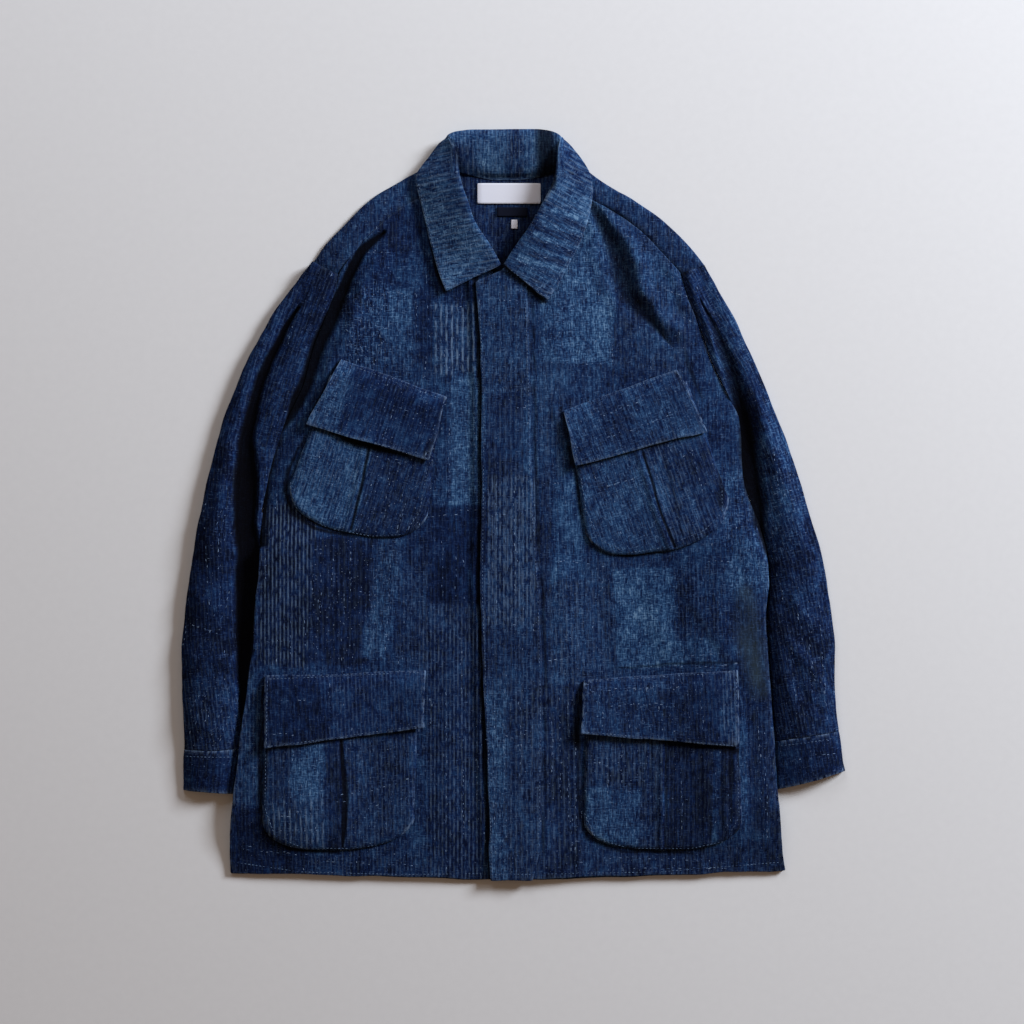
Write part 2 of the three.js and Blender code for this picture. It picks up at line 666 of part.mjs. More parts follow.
// Patch pockets and flaps lie on the front's own surface.
const sideOf = (name) => (name.endsWith('R') ? 'right' : 'left');

function pocketShape(name, u, v) {
  const p = POCKETS[name];
  const square = Math.abs(2 * u - 1) ** 5;
  const down = v * (1 - p.round * square * v);
  const point = mix(mix(p.a, p.b, u), mix(p.d, p.c, u), down);
  point[1] -= p.belly * (1 - (2 * u - 1) ** 2) * v * v;
  return point;
}

function pocket(name) {
  const p = POCKETS[name];
  const side = sideOf(name);
  const wide = Math.hypot(p.a[0] - p.b[0], p.a[1] - p.b[1]);
  const deep = Math.hypot(p.a[0] - p.d[0], p.a[1] - p.d[1]);
  const turnU = TURN_IN / wide;
  const turnV = TURN_IN / deep;
  const downs = [0, 0.2, 0.36, 0.5, 0.64, 0.78, 0.9, 1 - turnV, 1];
  const grid = downs.map((v) => {
    const pleat = lerp(p.pleat[0], p.pleat[1], v);
    const step = 4 / wide;
    const inner = [0, turnU, 0.06, 0.13, 0.3];
    const middle = [pleat - step * 3, pleat - step * 0.6, pleat + step * 0.2];
    const across = [...inner, ...middle, 0.7, 0.87, 0.94, 1 - turnU, 1];
    return across.map((u, j) => {
      const point = pocketShape(name, u, v);
      const border = j === 0 || j === across.length - 1 || v === 1;
      const fold = j === inner.length + 1 ? PLEAT_RISE * soft((v - 0.4) / 0.2) * soft((1 - v) / 0.12) : 0;
      const high = border ? 0 : POCKET_AIR + fold;
      return at(point, frontTop(side, point[0], point[1]) + REST + MID + high);
    });
  });
  return wall(grid, CLOTH);
}

function flap(name) {
  const f = FLAPS[name];
  const side = sideOf(name);
  const deep = Math.hypot(f.a[0] - f.d[0], f.a[1] - f.d[1]);
  const run = FLAP_RUN / deep;
  const downs = [0, run * 0.5, run, lerp(run, 1, 0.35), lerp(run, 1, 0.7), 1];
  const grid = downs.map((v) => {
    const row = [];
    for (let j = 0; j <= 8; j += 1) {
      const u = j / 8;
      const point = mix(mix(f.a, f.b, u), mix(f.d, f.c, u), v);
      const climb = (POCKET_AIR + CLOTH + REST + 0.3) * soft(v / (run * 0.9));
      const rise = lerp(f.riseD, f.riseC, u) * soft((v - run) / (1 - run)) ** 2;
      row.push(at(point, frontTop(side, point[0], point[1]) + REST + DOUBLE / 2 + climb + rise));
    }
    return row;
  });
  return wall(grid, DOUBLE);
}

// Collar: stand from the neck seam to the roll, then the fall to the outer edge.
function bezier(a, b, c, d, t) {
  const s = 1 - t;
  const point = new THREE.Vector3();
  point.addScaledVector(a, s * s * s);
  point.addScaledVector(b, 3 * s * s * t);
  point.addScaledVector(c, 3 * s * t * t);
  return point.addScaledVector(d, t * t * t);
}

function collarSection(share) {
  const place = share * (COLLAR.length - 1);
  const curve = (key) => {
    const points = COLLAR.map((row) => new THREE.Vector3(...row[key]));
    return new THREE.CatmullRomCurve3(points, false, 'centripetal').getPoint(share);
  };
  const neck = curve('neck');
  const roll = curve('roll');
  const edge = curve('edge');
  const i = Math.min(Math.floor(place), COLLAR.length - 2);
  const turn = THREE.MathUtils.degToRad(lerp(COLLAR[i].turn, COLLAR[i + 1].turn, place - i));
  const out = new THREE.Vector3(edge.x - roll.x, edge.y - roll.y, 0).normalize();
  const leave = out.clone().multiplyScalar(Math.cos(turn));
  leave.z -= Math.sin(turn);
  const stand = neck.distanceTo(roll);
  const fall = edge.distanceTo(roll);
  const rise = neck.clone().lerp(roll, 0.3);
  rise.z += stand * 0.12;
  const arrive = roll.clone().addScaledVector(leave, -Math.min(stand * 0.3, 6));
  const go = roll.clone().addScaledVector(leave, Math.min(fall * 0.3, turn > 1 ? 5.4 : 10));
  const settle = edge.clone().lerp(roll, 0.35);
  settle.z = turn > 1 ? edge.z : settle.z;
  const points = [];
  for (let s = 0; s < COLLAR_STEPS; s += 1) {
    points.push(bezier(neck, rise, arrive, roll, s / COLLAR_STEPS));
  }
  for (let s = 0; s <= COLLAR_STEPS; s += 1) {
    points.push(bezier(roll, go, settle, edge, s / COLLAR_STEPS));
  }
  return points;
}

function collar() {
  const grid = [];
  for (let i = 0; i <= COLLAR_ROWS; i += 1) {
    grid.push(collarSection(i / COLLAR_ROWS));
  }
  return wall(grid, DOUBLE);
}

function label({ low, high }) {
  const steps = [0, 1 / 3, 2 / 3, 1];
  const grid = steps.map((v) =>
    steps.map((u) => at([lerp(low[0], high[0], u), lerp(low[1], high[1], v)], CLOTH + REST + LABEL / 2)),
  );
  return wall(grid, LABEL);
}

add('back', back(), 0x1c3258);
add('front_right', wall(front('right'), CLOTH), 0x203a64);
add('front_left', wall(front('left'), CLOTH), 0x26426e);
add('fly_placket', wall(placket(), DOUBLE), 0x1d355e);
for (const side of ['right', 'left']) {
  add(`sleeve_${side}`, sleeve(side), 0x1d345c);
  add(`cuff_${side}`, wall(cuff(side), CLOTH, { ring: true }), 0x182c50);
}
add('collar', collar(), 0x2c4a78);
const NAMES = { chestR: 'chest_R', chestL: 'chest_L', hipR: 'hip_R', hipL: 'hip_L' };
for (const key of Object.keys(POCKETS)) {
  const [place, side] = NAMES[key].split('_');
  const word = side === 'R' ? 'right' : 'left';
  add(`${place}_pocket_${word}`, pocket(key), 0x28446f);
  add(`${place}_flap_${word}`, flap(key), 0x1b3157);
}
for (const row of LABELS) {
  add(row.name, label(row), row.color);
}

// The part stands on the floor, centred on its own outline.
const box = new THREE.Box3().setFromObject(group);
const middle = box.getCenter(new THREE.Vector3());
for (const mesh of group.children) {
  mesh.geometry.translate(-middle.x, -middle.y, -box.min.z);
}

export default group;
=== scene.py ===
# %% [markdown]
# A patched indigo field jacket, laid flat on a pale floor and seen from straight above.
# The imported solids give every panel its size, place and main folds. Here each panel becomes
# real cloth: finer, softer, creased, patched, stitched and worn. The script starts by loading
# those solids as a fixed frame.

# %% Load the frame
import json
import math
import random

import bpy
import numpy as np
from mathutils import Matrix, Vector
from mathutils.bvhtree import BVHTree

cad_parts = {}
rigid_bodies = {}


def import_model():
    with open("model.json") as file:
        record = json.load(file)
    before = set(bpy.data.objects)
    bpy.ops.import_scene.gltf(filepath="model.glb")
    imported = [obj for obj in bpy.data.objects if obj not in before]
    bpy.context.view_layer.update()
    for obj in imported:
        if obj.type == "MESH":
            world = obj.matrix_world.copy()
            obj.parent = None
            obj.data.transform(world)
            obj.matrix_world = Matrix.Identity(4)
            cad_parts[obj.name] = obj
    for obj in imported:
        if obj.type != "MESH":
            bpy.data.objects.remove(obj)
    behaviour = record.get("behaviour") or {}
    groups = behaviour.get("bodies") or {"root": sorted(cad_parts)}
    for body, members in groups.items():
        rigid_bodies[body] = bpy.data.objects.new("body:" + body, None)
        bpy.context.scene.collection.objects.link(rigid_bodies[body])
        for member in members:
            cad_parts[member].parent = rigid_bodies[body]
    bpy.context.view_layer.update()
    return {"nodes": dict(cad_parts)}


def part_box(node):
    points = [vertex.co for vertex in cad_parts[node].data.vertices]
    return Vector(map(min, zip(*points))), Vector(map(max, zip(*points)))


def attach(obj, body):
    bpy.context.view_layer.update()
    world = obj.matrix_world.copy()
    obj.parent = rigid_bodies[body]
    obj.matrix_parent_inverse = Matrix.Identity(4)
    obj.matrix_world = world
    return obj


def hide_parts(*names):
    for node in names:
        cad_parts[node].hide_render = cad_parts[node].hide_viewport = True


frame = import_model()
MM = 0.001
rng = np.random.default_rng(11)
random.seed(11)

# %% [markdown]
# Colours are written as sRGB hex values, as a colour picker shows them, and Blender's shaders
# want linear light, so one function converts them. A second one adds a shader node, gives it
# its settings and joins its inputs, so that each material below reads as a list of steps. A
# third one starts a material, and a fourth one ends it. The three settings come back often.

# %% Helpers for colours and nodes
TIMES = {"operation": "MULTIPLY"}             # inputs 0 * 1
TIMES_PLUS = {"operation": "MULTIPLY_ADD"}    # inputs 0 * 1 + 2
COLOURS = {"data_type": "RGBA"}               # a mix of colours: inputs 6 and 7, output 2


def linear(code):
    values = [int(code[i:i + 2], 16) / 255 for i in (1, 3, 5)]
    return [v / 12.92 if v <= 0.04045 else ((v + 0.055) / 1.055) ** 2.4 for v in values] + [1.0]


def add(tree, kind, inputs=(), **settings):
    node = tree.nodes.new("ShaderNode" + kind)
    for key, value in settings.items():
        setattr(node, key, value)
    for socket, value in dict(inputs).items():
        if isinstance(value, bpy.types.Node):
            value = value.outputs[0]
        if isinstance(value, bpy.types.NodeSocket):
            tree.links.new(value, node.inputs[socket])
        else:
            node.inputs[socket].default_value = value
    return node


def new_material(name):
    material = bpy.data.materials.new(name)
    material.use_nodes = True
    return material, material.node_tree, material.node_tree.nodes["Principled BSDF"]


def coat(tree, shader, colour, roughness, gloss, bump=None):
    """Join a mixed colour and perhaps a bump to the shader, and set how rough and glossy it is."""
    tree.links.new(colour.outputs[2], shader.inputs["Base Color"])
    if bump is not None:
        tree.links.new(bump.outputs["Normal"], shader.inputs["Normal"])
    shader.inputs["Roughness"].default_value = roughness
    shader.inputs["Specular IOR Level"].default_value = gloss


# %% [markdown]
# Cloth is never quite even. Two small functions shape everything below: one eases a value from
# 0 to 1, so that no change starts with a step, and one gives smooth noise over the floor plan.

# %% Helpers for soft shapes
CELLS = 64   # the noise comes back after so many cells, far outside the jacket


def ease(t):
    t = np.clip(t, 0.0, 1.0)
    return t * t * (3 - 2 * t)


def noise(x, y, size, seed):
    """Smooth value noise from -1 to 1 with cells of one size, the same on every run."""
    table = np.random.default_rng(seed).uniform(-1, 1, (CELLS, CELLS))
    u, v = x / size, y / size
    i, j = np.floor(u).astype(int), np.floor(v).astype(int)
    s, t = ease(u - i), ease(v - j)
    i, j, right, up = i % CELLS, j % CELLS, (i + 1) % CELLS, (j + 1) % CELLS
    low = table[i, j] * (1 - s) + table[right, j] * s
    high = table[i, up] * (1 - s) + table[right, up] * s
    return low * (1 - t) + high * t


# %% [markdown]
# Cloth pieces. Each panel starts as a copy of its solid, so it lies exactly where the frame
# says. The copy's doubles are merged, its triangles are joined to quads, its cut edges are
# creased so that they keep their line, and a subdivision surface turns it into soft cloth
# with enough points to carry creases. The cut edges are also kept as a point attribute, "rim",
# because edges rub pale first.

# %% Make a fine cloth shell from a panel
CUT_EDGE = math.radians(50)   # a sharper bend than this is a cut edge
EDGE_CREASE = 0.55            # how well such an edge keeps its line
RUBBED = {"back": 0.85, "sleeve": 0.88, "fly": 0.90, "front": 0.93}   # edges that rub less


def cloth_from(node, name, levels):
    bpy.ops.object.select_all(action="DESELECT")
    source = frame["nodes"][node]
    source.select_set(True)
    bpy.context.view_layer.objects.active = source
    bpy.ops.object.duplicate()
    piece = bpy.context.active_object
    piece.name = name
    piece.data.name = name
    piece.data.materials.clear()
    bpy.ops.object.mode_set(mode="EDIT")
    bpy.ops.mesh.select_all(action="SELECT")
    bpy.ops.mesh.remove_doubles(threshold=0.00001)
    bpy.ops.mesh.tris_convert_to_quads(face_threshold=1.2, shape_threshold=2.4)
    bpy.ops.mesh.select_all(action="DESELECT")
    bpy.ops.mesh.select_mode(type="EDGE")
    bpy.ops.mesh.edges_select_sharp(sharpness=CUT_EDGE)
    bpy.ops.transform.edge_crease(value=EDGE_CREASE)
    bpy.ops.object.mode_set(mode="OBJECT")
    rim = np.zeros(len(piece.data.vertices))
    for edge in piece.data.edges:
        if edge.select:
            rim[list(edge.vertices)] = RUBBED.get(node.split("_")[0], 1.0)
    set_value(piece, "rim", rim)
    soften = piece.modifiers.new("soften", "SUBSURF")
    soften.levels = levels
    soften.render_levels = levels
    bpy.ops.object.modifier_apply(modifier=soften.name)
    bpy.ops.object.shade_smooth()
    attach(piece, "root")
    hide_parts(node)
    return piece


def points_of(piece):
    """All points of a piece in mm, one row each."""
    flat = np.empty(len(piece.data.vertices) * 3)
    piece.data.vertices.foreach_get("co", flat)
    return flat.reshape(-1, 3) / MM


def set_points(piece, points):
    piece.data.vertices.foreach_set("co", (points * MM).ravel())
    piece.data.update()


def set_value(piece, name, values):
    layer = piece.data.attributes.get(name) or piece.data.attributes.new(name, "FLOAT", "POINT")
    layer.data.foreach_set("value", np.asarray(values, dtype=float))


LEVELS = {
    "back": 2, "front_right": 3, "front_left": 3, "fly_placket": 3,
    "sleeve_right": 3, "sleeve_left": 3, "cuff_right": 3, "cuff_left": 3, "collar": 3,
    "chest_pocket_right": 3, "chest_pocket_left": 3, "hip_pocket_right": 3, "hip_pocket_left": 3,
    "chest_flap_right": 3, "chest_flap_left": 3, "hip_flap_right": 3, "hip_flap_left": 3,
    "neck_label": 2, "care_label": 2, "size_tab": 2,
}
cloth = {node: cloth_from(node, node + "_cloth", levels) for node, levels in LEVELS.items()}
print("cloth pieces:", len(cloth), "faces:", sum(len(p.data.polygons) for p in cloth.values()))

# %% [markdown]
# Creases. Cloth that lies flat still carries soft swells and sharp little troughs, most of them
# pulled by a seam or left from folding. Each row below is one: where it runs, how wide it is
# and how high it stands, in millimetres, below zero for a trough. All that lies on a front
# moves with it. Slow noise adds the swells between them.

# %% Soft troughs and ridges
# from x, y to x, y, width, height
BODY_CREASES = [
    (104, 333, 133, 277, 10, 4.4), (133, 277, 153, 225, 11, 4.8), (153, 225, 191, 185, 9, 3.2),
    (81, 326, 97, 272, 10, 1.8), (97, 272, 117, 212, 10, 1.6), (173, 272, 207, 196, 9, 1.8),
    (169, 261, 189, 209, 6, -1.2), (-129, 299, -156, 272, 9, 2.4), (-156, 272, -172, 230, 9, 3.6),
    (-172, 230, -192, 179, 9, 3.6), (-192, 179, -219, 122, 8, 3), (52, 230, 48, 156, 12, 0.6),
    (49, 109, 61, 41, 5, 1.8), (65, -207, 63, -259, 6, 1.6), (-159, 301, -181, 209, 12, 0.8),
    (-123, 326, -141, 230, 8, -0.8), (-80, 216, -76, 135, 9, 0.6), (-87, -17, -76, -151, 9, -0.6),
    (-127, -50, -152, -176, 12, 1), (-194, -62, -206, -174, 10, -0.7), (-255, -28, -275, -178, 9, 0.7),
    (-69, -174, -73, -407, 10, 0.8), (-94, -389, -100, -416, 10, 0.9), (-206, -393, -210, -416, 12, 0.8),
    (52, -68, 65, -183, 11, 0.7), (97, -77, 101, -178, 9, -0.8), (153, -84, 173, -174, 13, 0.8),
    (209, -73, 233, -174, 10, -0.9), (242, -95, 258, -207, 12, -1.2), (256, -17, 272, -151, 10, 1),
    (52, -218, 48, -407, 10, -0.7), (39, -398, 43, -418, 9, 0.7), (142, -393, 137, -416, 12, 0.8),
    (220, -389, 227, -411, 11, -0.6), (263, -218, 267, -398, 7, -0.9), (278, -207, 285, -386, 9, 0.9),
]
SLEEVE_CREASES = [
    (-282, 185, -311, 95, 8, 0.8), (-315, 62, -338, -39, 9, 0.9), (-239, 196, -266, 126, 8, 0.9),
    (-266, 126, -280, 39, 7, 0.8), (-356, -57, -311, -106, 7, -1), (-362, -95, -315, -127, 8, 1.2),
    (-365, -129, -309, -162, 6, -1.1), (-367, -165, -309, -183, 7, 1), (-367, -207, -311, -218, 7, -0.9),
    (-362, -236, -313, -259, 7, 0.8), (240, 218, 278, 118, 8, -0.6), (272, 118, 310, 6, 10, 0.9),
    (283, 39, 321, -73, 8, -0.8), (310, -106, 354, -151, 6, 1.4), (305, -120, 350, -196, 6, -1.6),
    (312, -151, 354, -218, 6, 1.5), (310, -176, 341, -239, 5, -1.5), (321, -201, 350, -245, 5, 1.2),
    (298, -162, 316, -243, 6, 1), (339, -62, 359, -129, 6, -0.9),
]
# height, squeeze along the body, size, seed
BODY_SWELLS = [(0.55, 0.6, 62, 3), (0.32, 0.7, 27, 4), (0.14, 1.0, 11, 5)]
SLEEVE_SWELLS = [(0.5, 0.6, 50, 6), (0.3, 1.0, 22, 7), (0.14, 1.0, 10, 8)]
WANDER = 3.0    # how far a crease strays from its straight line
FADE = 0.18     # share of its length by which each end fades in or out


def swell(creases, swells, x, y):
    """How far the creases and the noise lift each point, in mm."""
    height = np.zeros_like(x)
    for ax, ay, bx, by, width, high in creases:
        dx, dy = bx - ax, by - ay
        t = ((x - ax) * dx + (y - ay) * dy) / (dx * dx + dy * dy)
        across = ((x - ax) * dy - (y - ay) * dx) / math.hypot(dx, dy) + WANDER * np.sin(6.0 * t + ax)
        ends = ease((t + FADE) / (2 * FADE)) * ease((1 + FADE - t) / (2 * FADE))
        height += high * np.exp(-((across / width) ** 2)) * ends
    for high, squeeze, size, seed in swells:
        height += high * noise(x, y * squeeze, size, seed)
    return height


print("creases:", len(BODY_CREASES) + len(SLEEVE_CREASES))

# %% [markdown]
# Deep folds. Where a sleeve rolls over to its armhole, and where one front sinks beside the
# collar, the cloth dips almost to the layer below. These hollows are lines with a changing half
# width, in millimetres. The cloth is pressed down along them, and the same share goes to a point
# attribute that the cloth material reads later as painted shade, nearly black. Pleats are narrow
# hollows.

# %% Deep folds and pleats
# x, y, half width
FOLDS = {
    "right_sleeve": [
        (-241, 221, 2), (-257, 195, 3.5), (-266, 178, 4.5), (-274, 163, 5), (-282, 144, 5.6),
        (-288, 128, 6), (-293, 110, 7), (-297, 88, 8), (-300, 67, 9.5), (-300, 28, 13), (-301, -21, 12),
        (-297, -54, 14), (-299, -103, 13), (-301, -152, 10), (-302, -186, 7), (-303, -218, 4),
        (-303, -236, 2), (-305, -258, 1), (-313, -325, 1),
    ],
    "right_armhole": [
        (-145, 305, 2), (-156, 297, 4), (-171, 284, 6), (-184, 256, 6.5), (-194, 233, 7), (-204, 210, 8),
        (-215, 188, 8.6), (-226, 162, 8), (-232, 141, 8), (-243, 116, 8.6), (-249, 100, 5), (-259, 81, 2),
        (-268, 48, 2), (-275, 17, 2.5), (-278, -21, 3), (-280, -45, 4),
    ],
    "left_sleeve": [
        (210, 230, 0.5), (219, 209, 2), (227, 191, 4), (232, 178, 5.5), (239, 160, 7), (246, 137, 8),
        (254, 114, 8), (258, 101, 8), (261, 72, 10.5), (264, 44, 11), (267, 21, 11), (272, 0, 8.5),
        (275, -21, 6.5), (279, -43, 4.5), (283, -57, 3), (286, -73, 1.6), (285, -115, 1.2), (286, -187, 1),
        (294, -295, 1), (297, -330, 1),
    ],
    "left_front": [
        (88, 336, 4), (101, 312, 6), (110, 293, 8), (116, 277, 9), (120, 258, 9.5), (126, 238, 9.5),
        (138, 223, 8), (152, 207, 5), (164, 194, 2.5), (177, 178, 0.5),
    ],
}
PLEATS = {
    "chest_pocket_right": [[(-161, 66, 1.6), (-171, 18, 1.8), (-182, -28, 1.4)]],
    "chest_pocket_left": [[(144, 59, 1.2), (165, -8, 1.5), (179, -46, 1.6)]],
    "hip_pocket_right": [
        [(-192, -263, 1.8), (-190, -292, 3), (-188, -328, 4), (-190, -360, 3), (-192, -382, 1.4)],
    ],
    "hip_pocket_left": [
        [(153, -261, 1.4), (154, -322, 1)], [(170, -268, 1.2), (169, -382, 1.6)],
        [(219, -272, 1), (220, -375, 1)], [(241, -277, 2.6), (240, -355, 2)],
    ],
}
print("folds:", len(FOLDS), "pleats:", sum(len(lines) for lines in PLEATS.values()))

# %% [markdown]
# Lines of painted shade. Beside a seam, under a flap and along a pocket's edge the cloth isn't
# pressed down, but it gets painted shade as dark as a fold's, where little light gets in. These
# lines only darken. They are softer where the cloth curves away, as inside the collar.

# %% Lines of painted shade
# painted shade along the left shoulder seam
SHOULDER = [
    (92, 345, 1), (113, 329, 1.3), (136, 314, 1.3), (160, 293, 1.4), (176, 277, 1.5), (190, 260, 1.6),
]
# painted shadow under the left collar leaf's tip
LEAF_TIP = [(-6, 260, 1.2), (16, 244, 2.6), (36, 227, 2.4)]
PAINTED_SHADE_LINES = {
    # strength, softness, points with half widths
    "front_left": [
        (0.8, 5, SHOULDER),
        (0.9, 5, LEAF_TIP),
        (0.7, 5, [(21, 230, 0.9), (25, 28, 0.9), (33, -98, 0.9), (36, -224, 0.9), (33, -418, 0.9)]),
        (0.7, 7, [(191, 174, 1), (198, 156, 3), (204, 135, 2), (213, 118, 1)]),
        (0.45, 16, [(184, -93, 2), (209, -131, 5), (240, -178, 5), (267, -212, 2)]),
        (0.7, 5, [(115, -183, 0.8), (175, -178, 1.6), (249, -175, 1.8)]),
        (0.9, 5, [(54, 109, 1.4), (60, 73, 2.4), (67, 44, 3)]),
        (0.8, 5, [(69, 44, 2), (74, -3, 1.6), (90, -39, 1.8), (124, -58, 1.6), (169, -54, 1)]),
        (0.9, 5, [(76, -205, 0.6), (72, -234, 2.4), (71, -257, 4), (73, -274, 2.4)]),
        (0.8, 5, [(74, -270, 2), (73, -342, 1.6), (83, -373, 1.8), (121, -389, 1.4), (198, -389, 0.8)]),
    ],
    "fly_placket": [
        (0.9, 5, LEAF_TIP),
    ],
    "front_right": [
        (0.9, 5, [(-105, 346, 0.8), (-99, 322, 1.6), (-91, 290, 2.6), (-85, 263, 3.4), (-77, 240, 3)]),
        (0.9, 5, [(-196, 162, 0.8), (-215, 124, 1.4), (-232, 88, 2)]),
        (0.9, 5, [
            (-234, 77, 1.4), (-252, 39, 2.2), (-255, 14, 2.8), (-247, -10, 3), (-224, -26, 2),
            (-176, -37, 1.2),
        ]),
        (0.9, 5, [
            (-278, -201, 0.8), (-282, -241, 2), (-282, -272, 2.6), (-282, -330, 2.8), (-275, -366, 3),
            (-250, -385, 2), (-194, -389, 1.2),
        ]),
    ],
    "back": [
        (0.8, 5, SHOULDER),
        (0.75, 16, [(59, 359, 7), (39, 328, 10), (12, 292, 13), (-12, 265, 10)]),
    ],
    "collar": [
        (0.9, 12, [(35, 418, 10), (35, 398, 11), (39, 380, 13), (41, 362, 13)]),
        (0.5, 8, [(-69, 406, 3), (-62, 386, 4), (-56, 368, 3)]),
    ],
    "sleeve_left": [
        (0.8, 5, [(190, 260, 1.6), (200, 265, 1), (216, 270, 0.8)]),
        (0.35, 5, [(190, 258, 1.6), (195, 242, 1.6), (202, 221, 1.4), (207, 207, 0.8)]),
    ],
    "chest_pocket_right": [
        (1, 5, [
            (-206, 83, 0.8), (-189, 75, 3), (-176, 70, 4.5), (-159, 65, 4), (-138, 59, 2.6), (-118, 54, 1),
        ]),
    ],
    "chest_pocket_left": [
        (0.7, 9, [(227, 59, 2), (233, 28, 4), (231, 0, 3)]),
        (0.5, 5, [(169, 55, 1), (182, 6, 1.6), (189, -35, 1)]),
    ],
    "hip_pocket_left": [
        (0.9, 6, [(142, -261, 0.6), (198, -268, 2.2), (249, -274, 3.4)]),
    ],
}
print("dark lines:", sum(len(lines) for lines in PAINTED_SHADE_LINES.values()))

# %% [markdown]
# Each point of the cloth is measured against such lines in two ways: how deep in the fold it
# lies, and how far along the line and to its right it is. Ridges and rows of thread that follow
# a bent line need the second one.

# %% Measure points against a line
def hollow_at(line, x, y, most_soft=5.0):
    """How deep in a fold each point lies: 1 in its middle, 0.5 at its half width, 0 outside."""
    share = np.zeros_like(x)
    for (ax, ay, first), (bx, by, last) in zip(line, line[1:]):
        dx, dy = bx - ax, by - ay
        t = np.clip(((x - ax) * dx + (y - ay) * dy) / (dx * dx + dy * dy), 0, 1)
        gap = np.hypot(x - ax - t * dx, y - ay - t * dy)
        half = first + t * (last - first)
        soft = np.minimum(most_soft, 1.0 + 0.1 * most_soft * half)
        share = np.maximum(share, ease((half + soft / 2 - gap) / soft))
    return share


def along_line(line, x, y):
    """Length along a bent line and the distance to its right, for each point."""
    best = np.full(x.shape, 1e9)
    run, off = np.zeros_like(x), np.zeros_like(x)
    total = 0.0
    for (ax, ay, *_), (bx, by, *_) in zip(line, line[1:]):
        length = math.hypot(bx - ax, by - ay)
        dx, dy = (bx - ax) / length, (by - ay) / length
        t = (x - ax) * dx + (y - ay) * dy
        side = (x - ax) * dy - (y - ay) * dx
        gap = np.hypot(side, np.maximum(np.maximum(-t, t - length), 0))
        near = gap < best
        best = np.where(near, gap, best)
        run = np.where(near, total + t, run)
        off = np.where(near, side, off)
        total += length
    return run, off


def with_painted_shade(node, x, y, deep):
    """The deeper of a fold and the piece's lines of painted shade, for each point."""
    for strength, soft, line in PAINTED_SHADE_LINES.get(node, []):
        deep = np.maximum(deep, strength * hollow_at(line, x, y, soft))
    return deep


def ridge(beside, middle, width):
    return np.exp(-(((beside - middle) / width) ** 2))


# %% [markdown]
# The fronts, and the placket, pockets and flaps on them, are lifted by the same swell, so that
# none cuts through another. It dies away at the hem, which lies flat. A front's side edge is
# pushed out a little over its sleeve. The right front has a ridge along the opening, where the
# left one leans on it. One flap gapes in its middle, and each pleat has a raised lip.

# %% Shape the fronts and all that lies on them
SIDE_EDGES = {
    # way out, points
    "front_right": (-1, [
        (-198, 252), (-199, 237), (-206, 214), (-217, 187), (-229, 150), (-238, 123), (-249, 100),
        (-260, 76), (-272, 45), (-277, 10), (-278, -28), (-280, -62),
    ]),
    "front_left": (1, [
        (240, 122), (249, 102), (253, 70), (255, 30), (263, 3), (273, -21), (279, -48), (283, -84),
    ]),
}
OPENING = [
    (-42, 250), (-38, 187), (-35, 120), (-35, -17), (-38, -81), (-32, -221), (-28, -386), (-26, -425),
]
FRONT_FOLDS = {
    # fold, strength, softness
    "front_right": [("right_armhole", 1.0, 5)],
    "front_left": [("left_sleeve", 1.0, 5), ("left_front", 0.76, 14)],
}
GAPING_FLAP = [(-185, 73, 8), (-145, 62, 8)]
FLAT = 2.3            # height of the lowest cloth that can still sink
SINK = 0.55           # share of the rest that a fold takes away
HEM, HEM_FADE = -424, 45   # where the hem lies, and how far above it the swell is whole
LIFT = 0.9            # how far the whole cloth stands over its solid
SIDE_PUSH = 3.2       # how far a side edge goes out
OPENING_RIDGE = 3.4
GAPE = 2.6
LIP, CUT = 0.9, 0.8   # a pleat's raised lip, and how deep its fold is
# share of painted shade in a pleat; this pocket's is weaker
PLEAT_PAINTED_SHADE = {"hip_pocket_left": 0.6}   # this one is nearly closed

on_body = [node for node in cloth if node.startswith(("front", "fly", "chest", "hip"))]
for node in on_body:
    p = points_of(cloth[node])
    x, y, z = p.T     # changes to these go into p
    hem = ease((y - HEM) / HEM_FADE)
    z += (LIFT + swell(BODY_CREASES, BODY_SWELLS, x, y)) * (0.15 + 0.85 * hem)
    deep = np.zeros_like(x)
    if node in FRONT_FOLDS:
        for fold, strength, soft in FRONT_FOLDS[node]:
            deep = np.maximum(deep, strength * hollow_at(FOLDS[fold], x, y, soft))
        z -= np.maximum(z - FLAT, 0) * SINK * deep
        outward, edge = SIDE_EDGES[node]
        run, beside = along_line(edge, x, y)
        ends = ease(run / 30) * ease((run.max() - run) / 60)   # the push starts and ends softly
        x += outward * SIDE_PUSH * ends * ease((5 - np.abs(beside)) / 4)
    if node == "front_right":
        beside = along_line(OPENING, x, y)[1]
        z += OPENING_RIDGE * hem * ridge(beside, 6.0, 4.2)
        # painted shadow along the opening, under the left front's edge
        deep = np.maximum(deep, 0.9 * ease((4.8 - np.abs(beside)) / 2.0))
    # the piece's lines add their painted shade
    deep = with_painted_shade(node, x, y, deep)
    if node == "chest_flap_right":
        z += GAPE * hollow_at(GAPING_FLAP, x, y, 30)
    for pleat in PLEATS.get(node, []):
        cut = hollow_at(pleat, x, y)
        lip = ridge(along_line(pleat, x, y)[1], 5, 4.0) * hollow_at([(a, b, 9) for a, b, _ in pleat], x, y)
        z += LIP * lip - CUT * cut
        # painted shade in the pleat's fold
        deep = np.maximum(deep, PLEAT_PAINTED_SHADE.get(node, 0.95) * cut)
    # all of it goes to the cloth as painted shade
    set_value(cloth[node], "painted_shade", deep)
    set_points(cloth[node], p)
print("shaped on the body:", len(on_body))

# %% [markdown]
# A sleeve lies beside the body and its outer side rolls up, so it is lifted outside its fold and
# pressed down in it. Its top edge is pulled up to the armhole seam. Only the upper layer moves:
# what lies on the floor stays there. The left sleeve's roll starts lower down, and a flat strip
# beside its armhole seam stands up instead.

